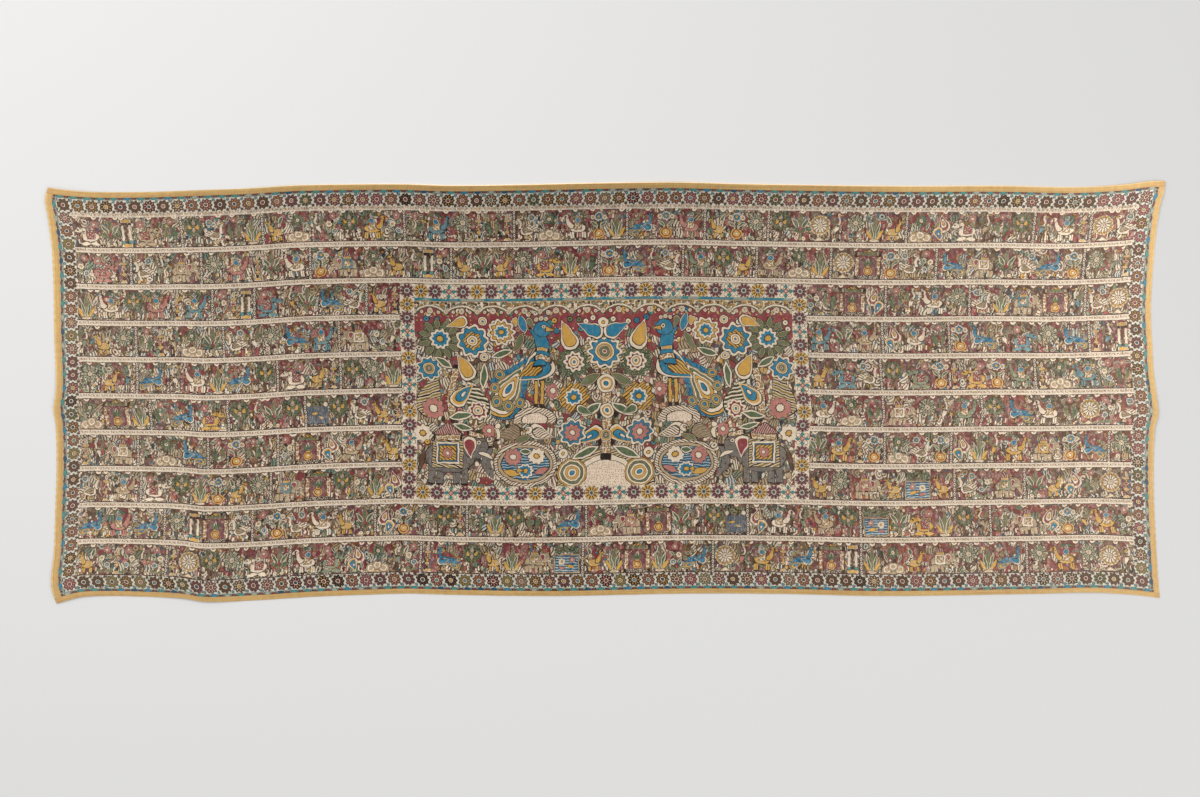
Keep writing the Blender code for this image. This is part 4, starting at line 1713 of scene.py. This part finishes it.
def add_maps(mesh, design, rim_count):
    """Maps of the whole cloth in metres, of each motif in mm, and of the sheet laid out flat."""
    cloth = np.stack([design.s * MM, design.t * MM], axis=-1).reshape(-1, 4, 2)
    motif = np.stack([design.u, design.v], axis=-1).reshape(-1, 4, 2)
    share = cloth / np.array([LENGTH, WIDTH])
    width = BAKED_SIDES[1] - BAKED_SIDES[0]

    def laid(heights):
        return share * [width, heights[1] - heights[0]] + [BAKED_SIDES[0], heights[0]]

    place = np.arange(rim_count)
    rim = np.zeros((rim_count, 4, 2))
    rim_cloth = rim.copy()
    rim_cloth[:, :, 0] = (place % (rim_count // 2) * 0.01)[:, None]
    rim_baked = rim.copy()
    step = width / rim_count
    rim_baked[:, :, 0] = (BAKED_SIDES[0] + step * place)[:, None] + np.array([0, step, step, 0])
    rim_baked[:, :, 1] = np.array([BAKED_RIM[0], BAKED_RIM[0], BAKED_RIM[1], BAKED_RIM[1]])
    maps = {
        "cloth": (cloth, cloth[:, ::-1], rim_cloth),
        "motif": (motif, motif[:, ::-1], rim),
        "OFBake": (laid(BAKED_FACE), laid(BAKED_BACK)[:, ::-1], rim_baked),
    }
    for name, parts in maps.items():
        corners = np.concatenate([part.reshape(-1) for part in parts])
        layer = mesh.uv_layers.new(name=name)
        layer.data.foreach_set("uv", corners.astype(np.float32))


def new_object(name, data):
    """An object of the scene, made of a mesh, a lamp or a camera."""
    made = bpy.data.objects.new(name, data)
    bpy.context.scene.collection.objects.link(made)
    return made


def stitch_places(columns, rows):
    """Both ends of every stitch, in metres on the cut cloth: four rows inside the hem's edge."""
    chance = random.Random(STITCH_SEED)
    left = columns[MARGIN_CELLS] - STITCH_INSET
    right = columns[-1 - MARGIN_CELLS] + STITCH_INSET
    bottom = rows[MARGIN_CELLS] - STITCH_INSET
    top = rows[-1 - MARGIN_CELLS] + STITCH_INSET
    corners = [(left, bottom), (right, bottom), (right, top), (left, top)]
    ends = []
    for (s0, t0), (s1, t1) in zip(corners, corners[1:] + corners[:1]):
        length = math.hypot(s1 - s0, t1 - t0)
        ds, dt = (s1 - s0) / length, (t1 - t0) / length
        place = STITCH_PITCH
        while place < length - STITCH_PITCH:
            half = STITCH_LENGTH / 2 * chance.uniform(0.8, 1.15)
            off = chance.uniform(-0.5, 0.5)
            for end in (place - half, place + half):
                ends.append((s0 + ds * end - dt * off, t0 + dt * end + ds * off))
            place += STITCH_PITCH * chance.uniform(0.85, 1.15)
    s, t = np.array(ends).T * MM
    return s.reshape(-1, 2) - LENGTH / 2, t.reshape(-1, 2) - WIDTH / 2


def thread_material():
    """Unbleached sewing thread, uneven in tone."""
    material, shader = new_material("sewing_thread", 0.8)
    pen = Painter(material.node_tree)
    place = pen.add("ShaderNodeTexCoord").outputs["Object"]
    colour = pen.mix(pen.noise(place, 0.004, 2.0)["Fac"], "hem_dark", "cream")
    pen.tree.links.new(colour, shader.inputs["Base Color"])
    return material


def stitch_points(start, end):
    """The points of each stitch, in order: one end, its two rings, and the other end."""
    forward = end - start
    sideways = np.stack([-forward[:, 1], forward[:, 0], np.zeros(len(forward))], axis=-1)
    sideways *= STITCH_WIDTH / 2 * MM / np.linalg.norm(sideways, axis=1)[:, None]
    up = np.array([0.0, 0.0, STITCH_HEIGHT * MM])
    low = up * -STITCH_SINK
    points = [start + low]
    for share in (0.25, 0.75):
        middle = start + forward * share
        points += [middle + low, middle + sideways, middle + up, middle - sideways]
    points.append(end + low)
    return np.stack(points, axis=1).reshape(-1, 3)


def stitch_faces(point_count):
    """The faces of each stitch: a fan at each end, and its sides between the rings."""
    faces = []
    for first in range(0, point_count, STITCH_POINTS):
        last = first + STITCH_POINTS - 1
        for side in range(RING_POINTS):
            near = first + 1 + side
            near_next = first + 1 + (side + 1) % RING_POINTS
            far = near + RING_POINTS
            far_next = near_next + RING_POINTS
            faces.append((first, near_next, near))
            faces.append((near, near_next, far_next, far))
            faces.append((last, far, far_next))
    return faces


def make_stitches(design, shift):
    """The hand-sewn stitches of the hem, joined into one mesh that lies on the cloth."""
    s, t = stitch_places(design.columns, design.rows)
    x, y = plan_places(s, t)
    z = lifts(s, t) + HEM_THICKNESS
    ends = np.stack([x + shift[0], y + shift[1], z], axis=-1)
    points = stitch_points(ends[:, 0], ends[:, 1])
    mesh = bpy.data.meshes.new("hem_stitches")
    mesh.from_pydata(points.tolist(), [], stitch_faces(len(points)))
    mesh.materials.append(thread_material())
    mesh.shade_smooth()
    return new_object("hem_stitches", mesh)


def make_cloth():
    """Lay out the design, and build the cloth that carries it and the stitches in its hem."""
    columns, along = zone_lines(ALONG_ZONES)
    rows, across = zone_lines(across_zones())
    columns = [line * LENGTH / MM / columns[-1] for line in columns]
    rows = [line * WIDTH / MM / rows[-1] for line in rows]
    design = Design(columns, rows)
    lay_borders(design, along, across)
    lay_field(design, along, across)
    lay_panel(design, along, across)
    face, back, shift = cloth_points(design)
    cloth = new_object("painted_cloth", cloth_mesh(design, face, back))
    return cloth, make_stitches(design, shift)


def light_area(name, place, size, power, turn):
    """A soft studio lamp."""
    lamp = bpy.data.lights.new(name, "AREA")
    lamp.shape = "RECTANGLE"
    lamp.size, lamp.size_y = size
    lamp.energy = power
    holder = new_object(name, lamp)
    holder.location = place
    holder.rotation_euler = [math.radians(angle) for angle in turn]


def make_studio():
    """A pale floor, and soft light from above."""
    bpy.ops.mesh.primitive_plane_add(size=FLOOR_SIZE, location=(0, 0, FLOOR_HEIGHT))
    floor = bpy.context.object
    floor.name = "floor"
    paper, shader = new_material("floor_paper", 0.95)
    shader.inputs["Base Color"].default_value = FLOOR_COLOUR
    floor.data.materials.append(paper)

    world = bpy.data.worlds.new("studio")
    world.use_nodes = True
    background = world.node_tree.nodes["Background"]
    background.inputs["Color"].default_value = SKY_COLOUR
    background.inputs["Strength"].default_value = SKY_STRENGTH
    bpy.context.scene.world = world
    for lamp in LAMPS:
        light_area(*lamp)


def add_camera():
    """A camera straight over the cloth, framed as the photograph is."""
    camera = bpy.data.cameras.new("camera")
    camera.sensor_width = SENSOR_MM
    camera.lens = SENSOR_MM * CAMERA_HEIGHT / (PHOTO_WIDTH_PX * METRES_PER_PX)
    low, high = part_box("cloth")
    right_px = PHOTO_MIDDLE_PX[0] - CLOTH_MIDDLE_PX[0]
    down_px = PHOTO_MIDDLE_PX[1] - CLOTH_MIDDLE_PX[1]
    holder = new_object("camera", camera)
    holder.location = (
        (low[0] + high[0]) / 2 + right_px * METRES_PER_PX,
        (low[1] + high[1]) / 2 - down_px * METRES_PER_PX,
        CAMERA_HEIGHT,
    )
    bpy.context.scene.camera = holder
    bpy.context.scene.view_settings.view_transform = "Standard"


cloth, stitches = make_cloth()
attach(cloth, "root")
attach(stitches, "root")
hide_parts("cloth")
make_studio()
add_camera()
